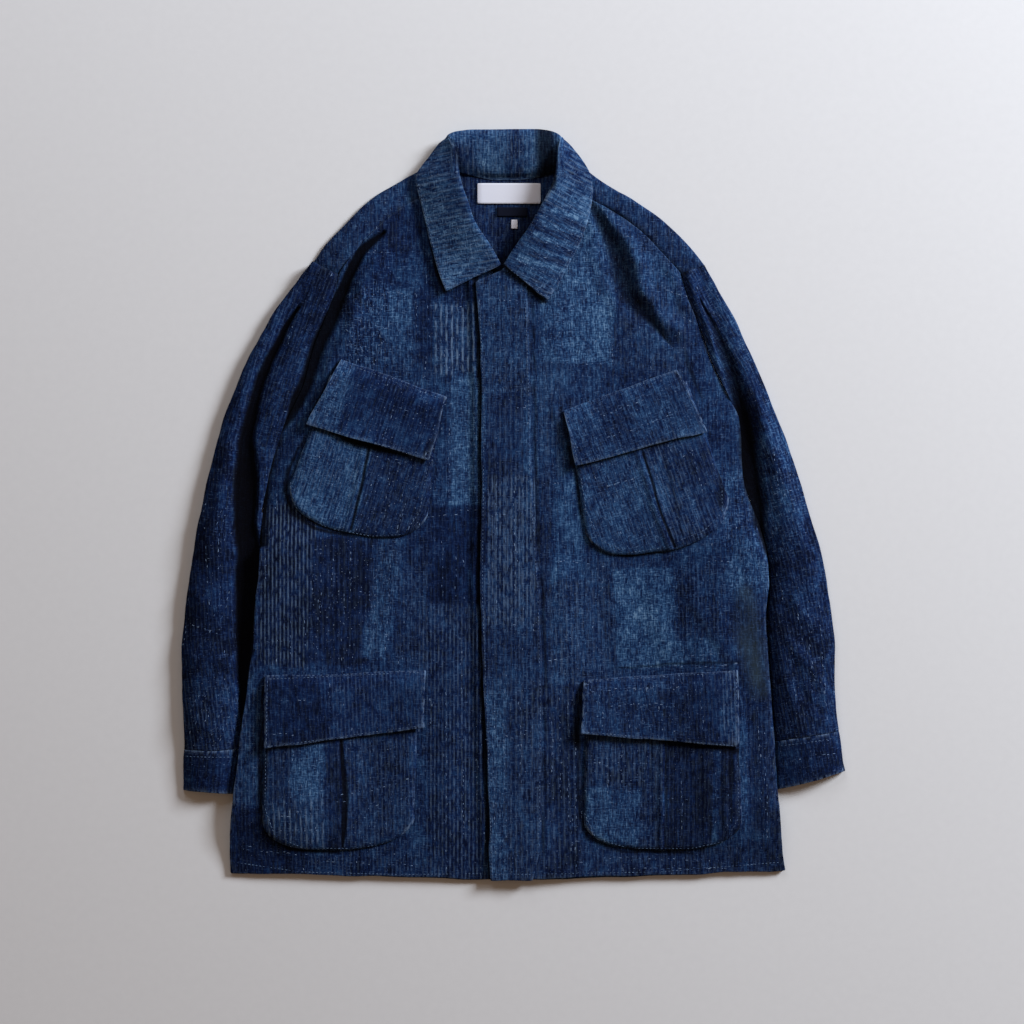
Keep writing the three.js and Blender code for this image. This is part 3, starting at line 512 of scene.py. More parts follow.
# %% Shape the sleeves and cuffs
SLEEVE_HEADS = {
    # way to the seam, points with half widths
    "sleeve_right": ((0.45, 0.89), [(-227, 272, 2.5), (-197, 258, 2.5)]),
    "sleeve_left": ((-0.38, 0.92), [(217, 270, 2.5), (189, 258, 2.5)]),
}
ARMHOLE = [(190, 258, 8), (202, 221, 9), (214, 190, 9), (227, 157, 8), (240, 122, 6)]
SLEEVE_LIFT = {"right": 6.0, "left": 2.6}   # how far the rolled outer side stands over its solid
ARMHOLE_LIFT = 2.4
HEAD_PULL = 1.8
PRESSED = 0.85        # share of its height that a sleeve loses in its fold

for side, sign in (("right", 1), ("left", -1)):
    fold = FOLDS[side + "_sleeve"]
    for node in ("sleeve_" + side, "cuff_" + side):
        p = points_of(cloth[node])
        x, y, z = p.T
        if side == "right":
            deep = np.maximum(hollow_at(fold, x, y), hollow_at(FOLDS["right_armhole"], x, y))
        else:
            deep = hollow_at(fold, x, y, 9) * (0.65 + 0.35 * ease((150 - y) / 50))
        if node in SLEEVE_HEADS:
            (ahead_x, ahead_y), head = SLEEVE_HEADS[node]
            pull = HEAD_PULL * hollow_at(head, x, y)
            x += ahead_x * pull
            y += ahead_y * pull
        outward = sign * along_line(fold, x, y)[1]
        rise = SLEEVE_LIFT[side] * ease(outward / 11) * (0.15 + 0.85 * ease((y + 330) / 110))
        if side == "left":
            rise = rise * ease((250 - y) / 110) + ARMHOLE_LIFT * hollow_at(ARMHOLE, x, y, 10)
        rise += np.maximum(0.4 + swell(SLEEVE_CREASES, SLEEVE_SWELLS, x, y), -0.3)
        high = z - FLAT + 0.1
        z += ease((z - 1.9) / 1.2) * ((high + rise) * (1 - PRESSED * deep) - high)
        # the folds and the piece's lines go to the upper layer as painted shade
        set_value(cloth[node], "painted_shade", with_painted_shade(node, x, y, deep) * ease((z - 1.5) / 1.0))
        set_points(cloth[node], p)
print("shaped sleeves and cuffs: 4")

# %% [markdown]
# Inside the neck the back and the collar's stand get painted shade on one side, which the light
# can't reach. The stand's foot is pressed down onto the back, so that no gap shows at the neck
# seam, and the collar's upper layer swells a little.

# %% Shape the collar
LAYER = 1.95                # height of the back's upper side
FOOT_END, UPPER = 373, 6    # where the stand's foot ends, and the height of the upper layer
p = points_of(cloth["back"])
# painted shade inside the neck, on the back
set_value(cloth["back"], "painted_shade", with_painted_shade("back", p[:, 0], p[:, 1], np.zeros(len(p))))
p = points_of(cloth["collar"])
x, y, z = p.T
# painted shade inside the collar's stand, faded out before the leaf beyond it
set_value(cloth["collar"], "painted_shade", with_painted_shade("collar", x, y, np.zeros(len(p))) * ease((50 - x) / 4))
foot = ease((FOOT_END - y) / 7) * ease((52 - np.abs(x + 2)) / 8) * (z < UPPER + 0.5) * (z > 1.9)
z -= 0.75 * foot * (z - LAYER)
z += 0.6 * noise(x, y, 30, 9) * ease((z - UPPER) / 4) + LIFT * ease((z - UPPER) / 3)
set_points(cloth["collar"], p)
print("points of the collar's foot:", int((foot > 0.5).sum()))

# %% [markdown]
# Hand sewing leaves no edge straight. Every piece of cloth is shifted sideways by slow noise, and
# since all pieces share it, their edges waver together and their seams stay closed.

# %% Let the edges waver
WAVER = [(1.1, 26, 41), (0.25, 10, 51)]   # how far, size of the noise, seed
for node, piece in cloth.items():
    if not node.endswith(("label", "tab")):
        p = points_of(piece)
        x, y, _ = p.T
        shift = [sum(far * noise(x, y, size, seed + k) for far, size, seed in WAVER) for k in (0, 1)]
        x += shift[0]
        y += shift[1]
        set_points(piece, p)
print("edges waver by up to", sum(row[0] for row in WAVER), "mm")

# %% [markdown]
# Grain. Every piece was cut from cloth with its own run of threads and sewn rows, so each gets a
# UV map in metres that follows its cut: straight for the body, turned with the slant of each
# pocket and flap, along each sleeve, and across the collar.

# %% Lay each piece's threads
GRAIN = {   # lean of the threads in degrees, where they aren't straight
    "front_left": 1, "chest_pocket_right": -17, "chest_flap_right": -18, "chest_pocket_left": 19,
    "chest_flap_left": 20, "hip_pocket_right": 1, "hip_flap_right": 2, "hip_flap_left": 2, "cuff_left": 15,
    "sleeve_left": 14, "sleeve_right": -14,
}
SLEEVE_LINES = {
    "sleeve_right": [(-239, 252), (-282, 162), (-315, 73), (-333, -39), (-340, -151), (-338, -274)],
    "sleeve_left": [(231, 252), (272, 151), (296, 50), (315, -62), (323, -162), (330, -263)],
}
LEAF_LEAN, STAND_LEAN = (math.radians(9), math.radians(-25)), math.radians(90)


def turned(x, y, angle):
    """Places measured along axes that are turned by an angle."""
    return x * np.cos(angle) + y * np.sin(angle), -x * np.sin(angle) + y * np.cos(angle)


def lay_threads(piece, across, length):
    uv = piece.data.uv_layers.new(name="threads")
    corners = np.empty(len(piece.data.loops), dtype=int)
    piece.data.loops.foreach_get("vertex_index", corners)
    pairs = np.stack([across[corners], length[corners]], axis=1) * MM
    uv.data.foreach_set("uv", pairs.ravel())


for node, piece in cloth.items():
    for layer in list(piece.data.uv_layers):
        piece.data.uv_layers.remove(layer)
    x, y, _ = points_of(piece).T
    if node in SLEEVE_LINES:
        run, off = along_line(SLEEVE_LINES[node], x, y)
        lay_threads(piece, off, -run)
    elif node == "collar":
        stand = (y > 366) & (x > -70) & (x < 56)
        lean = np.where(stand, STAND_LEAN, np.where(x < -7, *LEAF_LEAN))
        lay_threads(piece, *turned(x, y, lean + math.radians(90)))
    else:
        lay_threads(piece, *turned(x, y, math.radians(GRAIN.get(node, 0))))
print("threads laid on", len(cloth), "pieces")

# %% [markdown]
# Patches. The cloth was pieced and darned from many scraps of old indigo, each dyed, worn and
# sewn its own way. A table gives the scraps of each part of the jacket: two corners of its box
# and its lean in degrees, how soft its edge is in millimetres, then five looks in per cent: how
# pale it is, how strong its close rows and its wide rows of stitching are, and how many blue
# flecks and white slubs it has. Later rows lie over earlier ones.

# %% Scraps on the fronts and the placket
LOOKS = ("tone", "fine", "wide", "fleck", "white")
PLAIN = (34, 10, 0, 45, 20)   # the looks of cloth between the scraps
# upper corner x, y, lower corner x, y, lean, softness, and the five looks
FRONT_SCRAPS = [
    (-150, 375, -73, 272, 12, 8, 26, 10, 0, 35, 10), (-189, 286, -82, 238, 2, 5, 30, 5, 0, 50, 25),
    (-190, 243, -134, 156, 4, 4, 32, 15, 0, 85, 70), (-136, 241, -109, 196, 0, 3, 52, 10, 10, 70, 40),
    (-145, 196, -96, 131, 3, 5, 38, 15, 0, 65, 30), (-112, 241, -87, 140, 0, 4, 22, 10, 0, 35, 15),
    (-91, 225, -40, 147, 0, 2, 40, 5, 90, 50, 35), (-71, 147, -33, -1, 0, 2, 52, 10, 10, 70, 25),
    (-105, -3, -31, -111, 0, 3, 18, 6, 0, 22, 10), (-152, 0, -87, -62, 4, 5, 26, 12, 0, 35, 15),
    (-282, 0, -224, -178, -4, 3, 13, 60, 0, 30, 15), (-226, -37, -159, -178, -2, 3, 9, 6, 10, 22, 60),
    (-161, -35, -132, -174, -10, 4, 40, 15, 10, 65, 30), (-129, -62, -98, -174, -6, 4, 27, 20, 10, 45, 25),
    (-105, -111, -31, -196, 2, 5, 28, 40, 10, 35, 20), (-96, -140, -30, -420, 0, 3, 20, 38, 0, 35, 22),
    (-311, -205, -277, -339, -4, 4, 34, 25, 0, 50, 30), (-320, -337, -228, -425, 0, 4, 17, 8, 0, 30, 25),
    (-228, -382, -94, -425, 0, 4, 26, 20, 0, 45, 30), (-40, 263, 21, 122, 0, 4, 34, 12, 20, 60, 30),
    (-29, 122, 12, 35, 0, 3, 24, 8, 20, 35, 25), (12, 122, 23, 35, 0, 3, 40, 10, 10, 50, 25),
    (-31, 32, 27, -136, 0, 3, 30, 60, 30, 45, 30), (-33, -136, 34, -218, 0, 4, 28, 20, 10, 45, 25),
    (-33, -207, -6, -425, 0, 3, 42, 20, 10, 70, 40), (-6, -207, 34, -425, 0, 4, 28, 15, 30, 45, 30),
    (30, 342, 113, 158, 0, 2, 54, 10, 10, 80, 35), (101, 336, 198, 230, -10, 8, 40, 15, 10, 60, 30),
    (115, 230, 198, 149, -6, 5, 30, 15, 20, 45, 30), (25, 158, 59, 28, 0, 4, 38, 15, 20, 50, 25),
    (57, 158, 110, 106, 0, 4, 28, 10, 10, 45, 25), (24, 30, 43, -201, 0, 3, 24, 15, 10, 40, 25),
    (43, 30, 81, -86, 0, 4, 48, 10, 0, 55, 25), (41, -84, 86, -201, 0, 4, 38, 15, 30, 60, 35),
    (81, -62, 115, -196, 0, 4, 30, 15, 20, 50, 25), (113, -71, 198, -183, 2, 2, 57, 8, 0, 75, 20),
    (182, -68, 251, -151, 2, 4, 24, 15, 0, 55, 20), (191, -147, 251, -183, 2, 4, 40, 12, 0, 60, 25),
    (236, 35, 289, -102, 3, 4, 42, 12, 0, 75, 30), (233, -98, 292, -207, 2, 7, 29, 12, 0, 45, 15),
    (34, -201, 77, -425, 0, 4, 20, 10, 25, 35, 30), (260, -207, 310, -420, 2, 4, 20, 12, 10, 35, 25),
    (249, -201, 260, -366, 1, 2, 42, 10, 0, 60, 30), (86, -382, 254, -425, 0, 4, 22, 15, 10, 40, 30),
]
print("scraps on the fronts:", len(FRONT_SCRAPS))

# %% Scraps on the pockets and flaps
POCKET_SCRAPS = [
    (-239, 174, -188, 73, -17, 3, 48, 15, 10, 75, 30), (-188, 162, -71, 39, -17, 3, 25, 8, 0, 30, 50),
    (-257, 84, -168, -39, -14, 3, 47, 30, 0, 65, 30), (-168, 67, -91, -50, -14, 3, 24, 12, 10, 40, 55),
    (52, 156, 186, 39, 20, 4, 40, 12, 10, 60, 35), (97, 129, 130, 73, 20, 5, 28, 10, 10, 50, 25),
    (177, 162, 222, 66, 20, 4, 30, 12, 10, 45, 30), (74, 56, 169, -62, 14, 4, 40, 15, 10, 60, 30),
    (160, 78, 209, -53, 14, 4, 34, 30, 10, 50, 40), (204, 78, 249, -53, 14, 4, 22, 15, 10, 35, 25),
    (-282, -178, -203, -274, 0, 3, 18, 8, 0, 28, 15), (-203, -178, -94, -263, 2, 3, 28, 20, 0, 32, 14),
    (-282, -263, -244, -386, 0, 4, 22, 12, 20, 40, 30), (-248, -266, -210, -333, 0, 2, 46, 10, 10, 70, 30),
    (-280, -328, -208, -389, 0, 3, 32, 10, 70, 45, 30), (-210, -258, -189, -389, 0, 3, 20, 15, 10, 30, 20),
    (-189, -258, -99, -389, 0, 4, 27, 25, 10, 45, 30), (72, -178, 198, -272, -1, 4, 27, 10, 10, 50, 45),
    (198, -174, 233, -277, -1, 3, 20, 12, 0, 30, 25), (233, -174, 259, -277, -1, 2, 28, 40, 0, 45, 25),
    (74, -258, 169, -319, 0, 4, 25, 20, 30, 45, 30), (79, -315, 142, -386, 0, 3, 44, 10, 10, 70, 25),
    (142, -315, 171, -389, 0, 3, 24, 15, 20, 45, 30), (171, -263, 256, -389, 0, 3, 9, 12, 10, 30, 25),
    (221, -269, 230, -382, 0, 2, 36, 10, 0, 50, 30),
]
print("scraps on the pockets:", len(POCKET_SCRAPS))

# %% Scraps on the sleeves, the cuffs, the collar and the back
SLEEVE_SCRAPS = [
    (-374, -39, -300, -129, 4, 8, 14, 10, 0, 30, 30), (-374, -196, -306, -281, 0, 6, 24, 20, 0, 50, 50),
    (-374, -277, -306, -330, 0, 2, 20, 6, 0, 35, 20), (-306, 230, -206, 28, 22, 8, 22, 12, 0, 45, 25),
    (198, 274, 276, 95, -22, 8, 32, 15, 0, 55, 30), (265, 118, 334, -62, -12, 8, 34, 14, 0, 65, 30),
    (289, -62, 366, -266, -4, 8, 18, 12, 0, 55, 30), (343, -106, 377, -263, -4, 6, 22, 12, 0, 50, 30),
    (287, -259, 379, -330, 8, 2, 20, 6, 0, 40, 20),
]
COLLAR_SCRAPS = [
    (-82, 431, 65, 362, 0, 3, 58, 40, 10, 60, 25), (-6, 431, 12, 362, 0, 3, 32, 40, 10, 45, 20),
    (-116, 375, -10, 230, 14, 4, 51, 15, 45, 80, 35), (-82, 398, -38, 325, 10, 5, 38, 15, 40, 45, 30),
    (-11, 381, 95, 223, -20, 4, 48, 15, 45, 70, 35), (52, 420, 97, 346, -10, 5, 40, 15, 40, 55, 30),
    (-6, 324, 97, 247, -18, 5, 36, 10, 20, 55, 35), (41, 326, 88, 320, -10, 1, 66, 10, 20, 80, 60),
    (30, 311, 81, 306, -12, 1, 62, 10, 20, 80, 60), (21, 298, 74, 291, -15, 1, 68, 10, 20, 80, 60),
    (9, 284, 65, 279, -16, 1, 62, 10, 20, 80, 60), (3, 272, 58, 265, -18, 1, 66, 10, 20, 80, 60),
    (5, 258, 50, 252, -20, 1, 58, 10, 20, 80, 60),
]
BACK_SCRAPS = [(-82, 368, 63, 247, 0, 6, 20, 20, 10, 40, 20)]
SCRAPS = {
    # scraps, and the looks of the cloth between them
    "sleeve": (SLEEVE_SCRAPS, (15, 9, 0, 45, 25)), "cuff": (SLEEVE_SCRAPS, (20, 6, 0, 35, 20)),
    "collar": (COLLAR_SCRAPS, (40, 20, 30, 55, 30)), "chest": (POCKET_SCRAPS, (30, 15, 10, 45, 30)),
    "hip": (POCKET_SCRAPS, (25, 15, 10, 45, 30)), "front": (FRONT_SCRAPS, PLAIN),
    "fly": (FRONT_SCRAPS, PLAIN), "back": (BACK_SCRAPS, (30, 15, 10, 50, 25)),
}
print("scraps on the sleeves and collar:", len(SLEEVE_SCRAPS) + len(COLLAR_SCRAPS))

# %% [markdown]
# Each look becomes a point attribute of the cloth, which its material reads. A scrap's edge
# drifts by a few millimetres, as a hand-sewn one does. An old water stain, grey-green and blurred,
# is one more attribute.

# %% Put the scraps on the cloth
STAIN = [(258, -98, 7), (263, -151, 13), (274, -207, 7)]
DRIFT = 2.2   # how far a scrap's edge strays


def scraps_at(node, x, y):
    """The five looks of a piece of cloth at each point, from 0 to 1."""
    table, start = SCRAPS.get(node.split("_")[0], ([], PLAIN))
    looks = np.tile(np.array(start) / 100, (len(x), 1))
    drift_x, drift_y = DRIFT * noise(x, y, 18, 21), DRIFT * noise(x, y, 18, 22)
    for ax, ay, bx, by, lean, soft, *look in table:
        dx, dy = x - (ax + bx) / 2 + drift_x, y - (ay + by) / 2 + drift_y
        u, v = turned(dx, dy, math.radians(lean))
        inside_u = ease((abs(bx - ax) / 2 - np.abs(u)) / (2 * soft) + 0.5)
        inside_v = ease((abs(by - ay) / 2 - np.abs(v)) / (2 * soft) + 0.5)
        share = (inside_u * inside_v)[:, None]
        looks = looks * (1 - share) + np.array(look) / 100 * share
    return looks


for node, piece in cloth.items():
    x, y, _ = points_of(piece).T
    looks = scraps_at(node, x, y)
    for column, look in enumerate(LOOKS):
        set_value(piece, look, looks[:, column])
    stain = hollow_at(STAIN, x, y, 22) if node == "front_left" else np.zeros_like(x)
    set_value(piece, "stain", stain * (0.6 + 0.4 * noise(x, y, 16, 31)))
    # pieces with no folds or lines of shade get no painted shade
    if piece.data.attributes.get("painted_shade") is None:
        set_value(piece, "painted_shade", np.zeros_like(x))
print("looks set on", len(cloth), "pieces")

# %% [markdown]
# The cloth itself is hand-dyed indigo cotton, darned with rows of thread. Dye sits unevenly and
# the raised threads have worn pale, so the colour comes from a ramp that noise of several sizes
# pushes up and down: dye clouds, blots, long runs, and the grain of warp and weft, which shows
# more where a scrap is worn. Rows of stitching are a wave across the threads, broken into dashes
# by a stretched noise. Then come flecks where a thread has lost its dye, lumps of yarn, chafed
# edges, the stain, and painted shade, nearly black, in the folds and along the lines of shade.
# The same threads and rows drive the bump.

# %% Indigo cotton
WAVE = 2 * math.pi / 20   # a wave texture of this scale repeats once in a metre
ROWS = [("fine", 4.3 * MM), ("wide", 6.0 * MM)]
THREAD = 1.4   # real threads are near 0.4 mm; drawn coarser, so that they show at this size
CLOTH_NOISE = [
    # across and along the threads in mm, detail, shift
    (40, 55, 3.0, 3.1),       # dye clouds
    (9, 12, 3.0, 7.7),        # blots
    (2.6, 40, 1.0, 17.8),     # runs down the threads
    (THREAD, 8, 1.0, 1.3),    # warp
    (7, THREAD, 1.0, 5.9),    # weft
    (1.8, 2.1, 1.0, 9.2),     # lumps of yarn
    (3.0, 10, 1.0, 12.4),     # breaks in the rows of stitching
]
DYE = [(0.0, "#030a21"), (0.25, "#0a1b3f"), (0.5, "#19345a"), (0.75, "#33557c"), (1.0, "#6282a2")]


def weighed(tree, parts, start=None):
    """Sum of parts times their weights, on top of a start value if there is one."""
    for part, weight in parts:
        if start is None:
            start = add(tree, "Math", {0: part, 1: weight}, **TIMES)
        else:
            start = add(tree, "Math", {0: part, 1: weight, 2: start}, **TIMES_PLUS)
    return start


def indigo_cotton(name, turn=0.0):
    """Darned indigo cotton: matt, grained along its threads, paler where it is rubbed, with painted shade in
    its folds.
    """
    material, tree, shader = new_material(name)
    uv = add(tree, "UVMap", uv_map="threads")
    cloth_uv = add(tree, "Mapping", {"Vector": uv, "Rotation": (0, 0, turn)})
    keys = LOOKS + ("rim", "painted_shade", "stain")
    look = {key: add(tree, "Attribute", attribute_name=key).outputs["Fac"] for key in keys}

    fields = []
    for across, along, detail, shift in CLOTH_NOISE:
        size = (1 / (across * MM), 1 / (along * MM), 1)
        place = add(tree, "Mapping", {"Vector": cloth_uv, "Scale": size, "Location": (shift, shift, 0)})
        settings = {"Vector": place, "Scale": 1.0, "Detail": detail, "Roughness": 0.6}
        fields.append(add(tree, "TexNoise", settings))
    clouds, blots, runs, warp, weft, pepper, breaks = fields

    # dye: the scrap's tone, moved by the grain and by slower noise
    grain = weighed(tree, [(warp, 0.42), (weft, 0.30), (pepper, 0.28)])
    grain = add(tree, "MapRange", {
        "Value": grain, "From Min": 0.40, "From Max": 0.60, "To Min": -0.5, "To Max": 0.5})
    depth = add(tree, "Math", {0: look["fleck"], 1: 0.52, 2: 0.08}, **TIMES_PLUS)
    tone = weighed(tree, [(grain, depth), (clouds, 0.80), (blots, 0.75), (runs, 0.55)], look["tone"])
    tone = add(tree, "Math", {0: tone, 1: 1.05}, operation="SUBTRACT")
    ramp = add(tree, "ValToRGB", {"Fac": tone})
    steps = ramp.color_ramp.elements
    steps[0].color, steps[1].color = linear(DYE[0][1]), linear(DYE[-1][1])
    for place, code in DYE[1:-1]:
        steps.new(place).color = linear(code)

    # rows of stitching, close or wide, broken into dashes
    rows = []
    for key, size in ROWS:
        settings = {"Vector": cloth_uv, "Scale": WAVE / size, "Distortion": 0.12, "Detail": 0.0}
        band = add(tree, "TexWave", settings | {"Detail Scale": 0.12}, wave_type="BANDS", bands_direction="X")
        line = add(tree, "MapRange", {"Value": band.outputs["Fac"], "From Min": 0.45, "From Max": 0.95})
        rows.append(add(tree, "Math", {0: line, 1: look[key]}, **TIMES))
    dashes = add(tree, "MapRange", {"Value": breaks, "From Min": 0.36, "From Max": 0.62})
    rows = add(tree, "Math", {0: rows[0], 1: rows[1]}, operation="MAXIMUM")
    rows = add(tree, "Math", {0: rows, 1: dashes}, **TIMES)

    # flecks of faded thread, fewer where the scrap is dark
    thread = add(tree, "Math", {0: warp, 1: weft}, operation="MAXIMUM")
    fleck = add(tree, "MapRange", {"Value": thread, "From Min": 0.62, "From Max": 0.75})
    fleck = add(tree, "Math", {0: fleck, 1: look["fleck"]}, **TIMES)
    faded = add(tree, "MapRange", {"Value": tone, "From Min": 0.05, "From Max": 0.45, "To Min": 0.3})
    fleck = add(tree, "Math", {0: fleck, 1: faded}, **TIMES)
    pale = add(tree, "Math", {0: rows, 1: 0.56}, **TIMES)
    pale = add(tree, "Math", {0: fleck, 1: 0.42, 2: pale}, use_clamp=True, **TIMES_PLUS)

    # white lumps of yarn, and edges rubbed pale
    lump = add(tree, "MapRange", {"Value": pepper, "From Min": 0.70, "From Max": 0.76})
    lump = add(tree, "Math", {0: lump, 1: look["white"]}, **TIMES)
    rub = add(tree, "Math", {0: look["rim"], 1: 14.0}, operation="POWER")
    chafe = add(tree, "MapRange", {"Value": breaks, "From Min": 0.40, "From Max": 0.62, "To Max": 0.34})
    rub = add(tree, "Math", {0: rub, 1: chafe}, **TIMES)
    spill = add(tree, "Math", {0: look["stain"], 1: 0.50}, **TIMES)
    # painted shade: nearly black in folds, pleats and along the lines of shade
    painted_shade_share = add(tree, "Math", {0: look["painted_shade"], 1: 0.96}, **TIMES)

    # all of these lie over the dye, one after another
    colour = ramp.outputs["Color"]
    for share, code in ((pale, "#708cac"), (lump, "#94a9c4"), (rub, "#7d97b8"),
                        (spill, "#38474a"), (painted_shade_share, "#020206")):
        layer = add(tree, "Mix", {"Factor": share, 6: colour, 7: linear(code)}, **COLOURS)
        colour = layer.outputs[2]
    height = weighed(tree, [(warp, 0.35), (weft, 0.30), (rows, 0.30), (pepper, 0.30)])
    bump = add(tree, "Bump", {"Height": height, "Strength": 0.55, "Distance": 0.9 * MM})
    coat(tree, shader, layer, 0.92, 0.06, bump)
    return material


body_cotton = indigo_cotton("darned_indigo_cotton_body")
sleeve_cotton = indigo_cotton("darned_indigo_cotton_sleeve", 0.10)
collar_cotton = indigo_cotton("darned_indigo_cotton_collar")
pocket_cotton = indigo_cotton("darned_indigo_cotton_pocket")
print("indigo materials: 4")

# %% [markdown]
# The labels are woven tape: smooth and close, one white and one nearly black, with a fine rib.
# They are left bare.

# %% Woven tape
RIB = 1.2 * MM   # a real rib is near 0.3 mm; drawn coarser, so that it shows


def woven_tape(name, code, rib_code):
    """Satin-woven polyester tape: close ribs and a soft sheen."""
    material, tree, shader = new_material(name)
    uv = add(tree, "UVMap", uv_map="threads")
    settings = {"Vector": uv, "Scale": WAVE / RIB, "Distortion": 0.6}
    rib = add(tree, "TexWave", settings, wave_type="BANDS", bands_direction="Y").outputs["Fac"]
    colour = add(tree, "Mix", {"Factor": rib, 6: linear(code), 7: linear(rib_code)}, **COLOURS)
    bump = add(tree, "Bump", {"Height": rib, "Strength": 0.3, "Distance": 0.2 * MM})
    coat(tree, shader, colour, 0.8, 0.1, bump)
    return material


white_tape = woven_tape("woven_white_tape", "#d9dce6", "#cbd0dd")
dark_tape = woven_tape("woven_dark_tape", "#070b18", "#0c1226")
FINISH = {
    "sleeve": (sleeve_cotton, "sleeve_cloth"), "cuff": (sleeve_cotton, "sleeve_cloth"),
    "collar": (collar_cotton, "collar_cloth"), "chest": (pocket_cotton, "pocket_cloth"),
    "hip": (pocket_cotton, "pocket_cloth"), "neck": (white_tape, "label_white"),
    "size": (white_tape, "label_white"), "care": (dark_tape, "label_dark"),
}
for node, piece in cloth.items():
    material, slot = FINISH.get(node.split("_")[0], (body_cotton, "body_cloth"))
    piece.data.materials.append(material)
print("finished pieces:", len(cloth))

# %% [markdown]
# Sewing. Seams are topstitched with pale thread that sits a little proud of the cloth, one short
# stitch after another. A stitch is a small pointed bead; thousands of them would be slow as
# objects, so their corners are worked out in arrays and each kind becomes one joined mesh. A ray
# sent down from above finds the cloth, and its normal tilts the stitch onto it.

# %% Find the cloth under a point
depsgraph = bpy.context.evaluated_depsgraph_get()
trees = {node: BVHTree.FromObject(piece, depsgraph) for node, piece in cloth.items()}
ABOVE = 0.2   # rays start so high, in metres


def drop(x, y, nodes):
    """Highest point of the named pieces under a place in mm, with its normal and piece, or None."""
    best = None
    for node in nodes:
        place, normal, _, _ = trees[node].ray_cast(Vector((x * MM, y * MM, ABOVE)), Vector((0, 0, -1)))
        if place is not None and (best is None or place.z > best[0].z):
            best = (place, normal, node)
    return best


print("pieces to sew on:", len(trees))

# %% Join beads into one mesh
# along, across and up, in shares of the bead's length, width and height
BEAD = [(-0.5, 0, 0.15), (-0.22, -0.5, 0), (0.22, -0.5, 0), (0.5, 0, 0.15),
        (0.22, 0.5, 0), (-0.22, 0.5, 0), (-0.2, 0, 1), (0.2, 0, 1)]
BEAD_FACES = [(0, 1, 6), (1, 2, 7, 6), (2, 3, 7), (3, 4, 7), (4, 5, 6, 7), (5, 0, 6), (0, 5, 4, 3, 2, 1)]
BEAD_SUNK = 0.1   # mm of a bead in the cloth


def beads(name, spots, material):
    """One mesh of small pointed beads: spots are (place, direction, normal, length, width, height)."""
    corners, polygons = [], []
    for place, direction, normal, length, width, height in spots:
        side = normal.cross(direction).normalized()
        ahead = side.cross(normal).normalized()
        first = len(corners)
        for a, b, c in BEAD:
            up = normal * ((c * height - BEAD_SUNK) * MM)
            corners.append(place + ahead * (a * length * MM) + side * (b * width * MM) + up)
        polygons += [tuple(first + k for k in face) for face in BEAD_FACES]
    mesh = bpy.data.meshes.new(name)
    mesh.from_pydata(corners, [], polygons)
    mesh.update()
    piece = bpy.data.objects.new(name, mesh)
    bpy.context.scene.collection.objects.link(piece)
    mesh.materials.append(material)
    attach(piece, "root")
    print(name, "beads:", len(spots))


# %% [markdown]
# The thread is cotton too: dull, slightly fuzzy, in two shades. Sewing thread has taken some
# indigo and is a mid grey-blue; the yarn of the darning is paler.

# %% Thread
def cotton_thread(name, dark, pale):
    """Spun cotton thread: matt, with a shade that changes from stitch to stitch."""
    material, tree, shader = new_material(name)
    place = add(tree, "TexCoord").outputs["Object"]
    shade = add(tree, "TexNoise", {"Vector": place, "Scale": 1 / (13 * MM), "Detail": 2.0})
    spread = add(tree, "MapRange", {"Value": shade.outputs["Fac"], "From Min": 0.35, "From Max": 0.65})
    colour = add(tree, "Mix", {"Factor": spread, 6: linear(dark), 7: linear(pale)}, **COLOURS)
    coat(tree, shader, colour, 0.9, 0.2)
    return material


seam_thread = cotton_thread("blue_sewing_thread", "#16294a", "#5f7898")
slub_thread = cotton_thread("pale_slub_yarn", "#2a4670", "#768ead")
print("threads: 2")

# %% [markdown]
# Topstitching follows the edge of every flap, pocket, leaf, cuff and hem. Each row of the table
# is one seam: the pieces it may land on, and the points it passes.

# %% Topstitch the seams
SEAMS = [
    # pieces, points
    ("chest_flap_right", [(-191, 159), (-228, 91), (-94, 51), (-77, 119)]),
    ("chest_flap_right", [(-188, 158), (-79, 118)]),
    ("chest_flap_left", [(59, 103), (72, 46), (214, 84), (182, 150)]),
    ("chest_flap_left", [(61, 104), (180, 149)]),
    ("hip_flap_right", [(-274, -195), (-275, -269), (-101, -246), (-100, -187)]),
    ("hip_flap_right", [(-273, -194), (-101, -187)]),
    ("hip_flap_left", [(81, -198), (77, -253), (248, -268), (248, -186)]),
    ("hip_flap_left", [(82, -198), (248, -186)]),
    ("collar", [(-75, 242), (-85, 270), (-92, 299), (-101, 335), (-107, 363)]),
    ("collar", [(-73, 242), (-17, 268)]),
    ("collar", [(36, 233), (53, 258), (73, 297), (86, 333), (86, 359)]),
    ("collar", [(36, 232), (-6, 264)]),
    ("fly_placket", [(13, 230), (17, 118), (18, 28), (27, -98), (30, -224), (29, -336), (27, -416)]),
    ("fly_placket", [(-38, 230), (-33, 104), (-35, -98), (-29, -252), (-24, -416)]),
    ("front_right", [(-315, -400), (-239, -411), (-127, -414), (-31, -413)]),
    ("front_left fly_placket", [(-22, -413), (52, -413), (164, -411), (302, -400)]),
    ("cuff_right", [(-367, -281), (-311, -282)]),
    ("cuff_left", [(298, -270), (363, -260)]),
    ("chest_pocket_right", [
        (-230, 82), (-248, 39), (-250, 14), (-239, -11), (-206, -26), (-159, -35), (-123, -33), (-105, -8),
        (-96, 44),
    ]),
    ("chest_pocket_left", [
        (74, 39), (81, -6), (97, -39), (126, -54), (166, -48), (213, -28), (233, -8), (233, 28), (218, 75),
    ]),
    ("hip_pocket_right", [
        (-276, -277), (-277, -337), (-266, -369), (-235, -383), (-181, -384), (-134, -378), (-114, -357),
        (-104, -257),
    ]),
    ("hip_pocket_left", [
        (79, -266), (79, -344), (92, -373), (130, -384), (198, -384), (236, -375), (251, -348),
        (249, -277),
    ]),
]
SEAM_PITCH, SEAM_STITCH = 4.2, 2.9   # from stitch to stitch, and the length of one


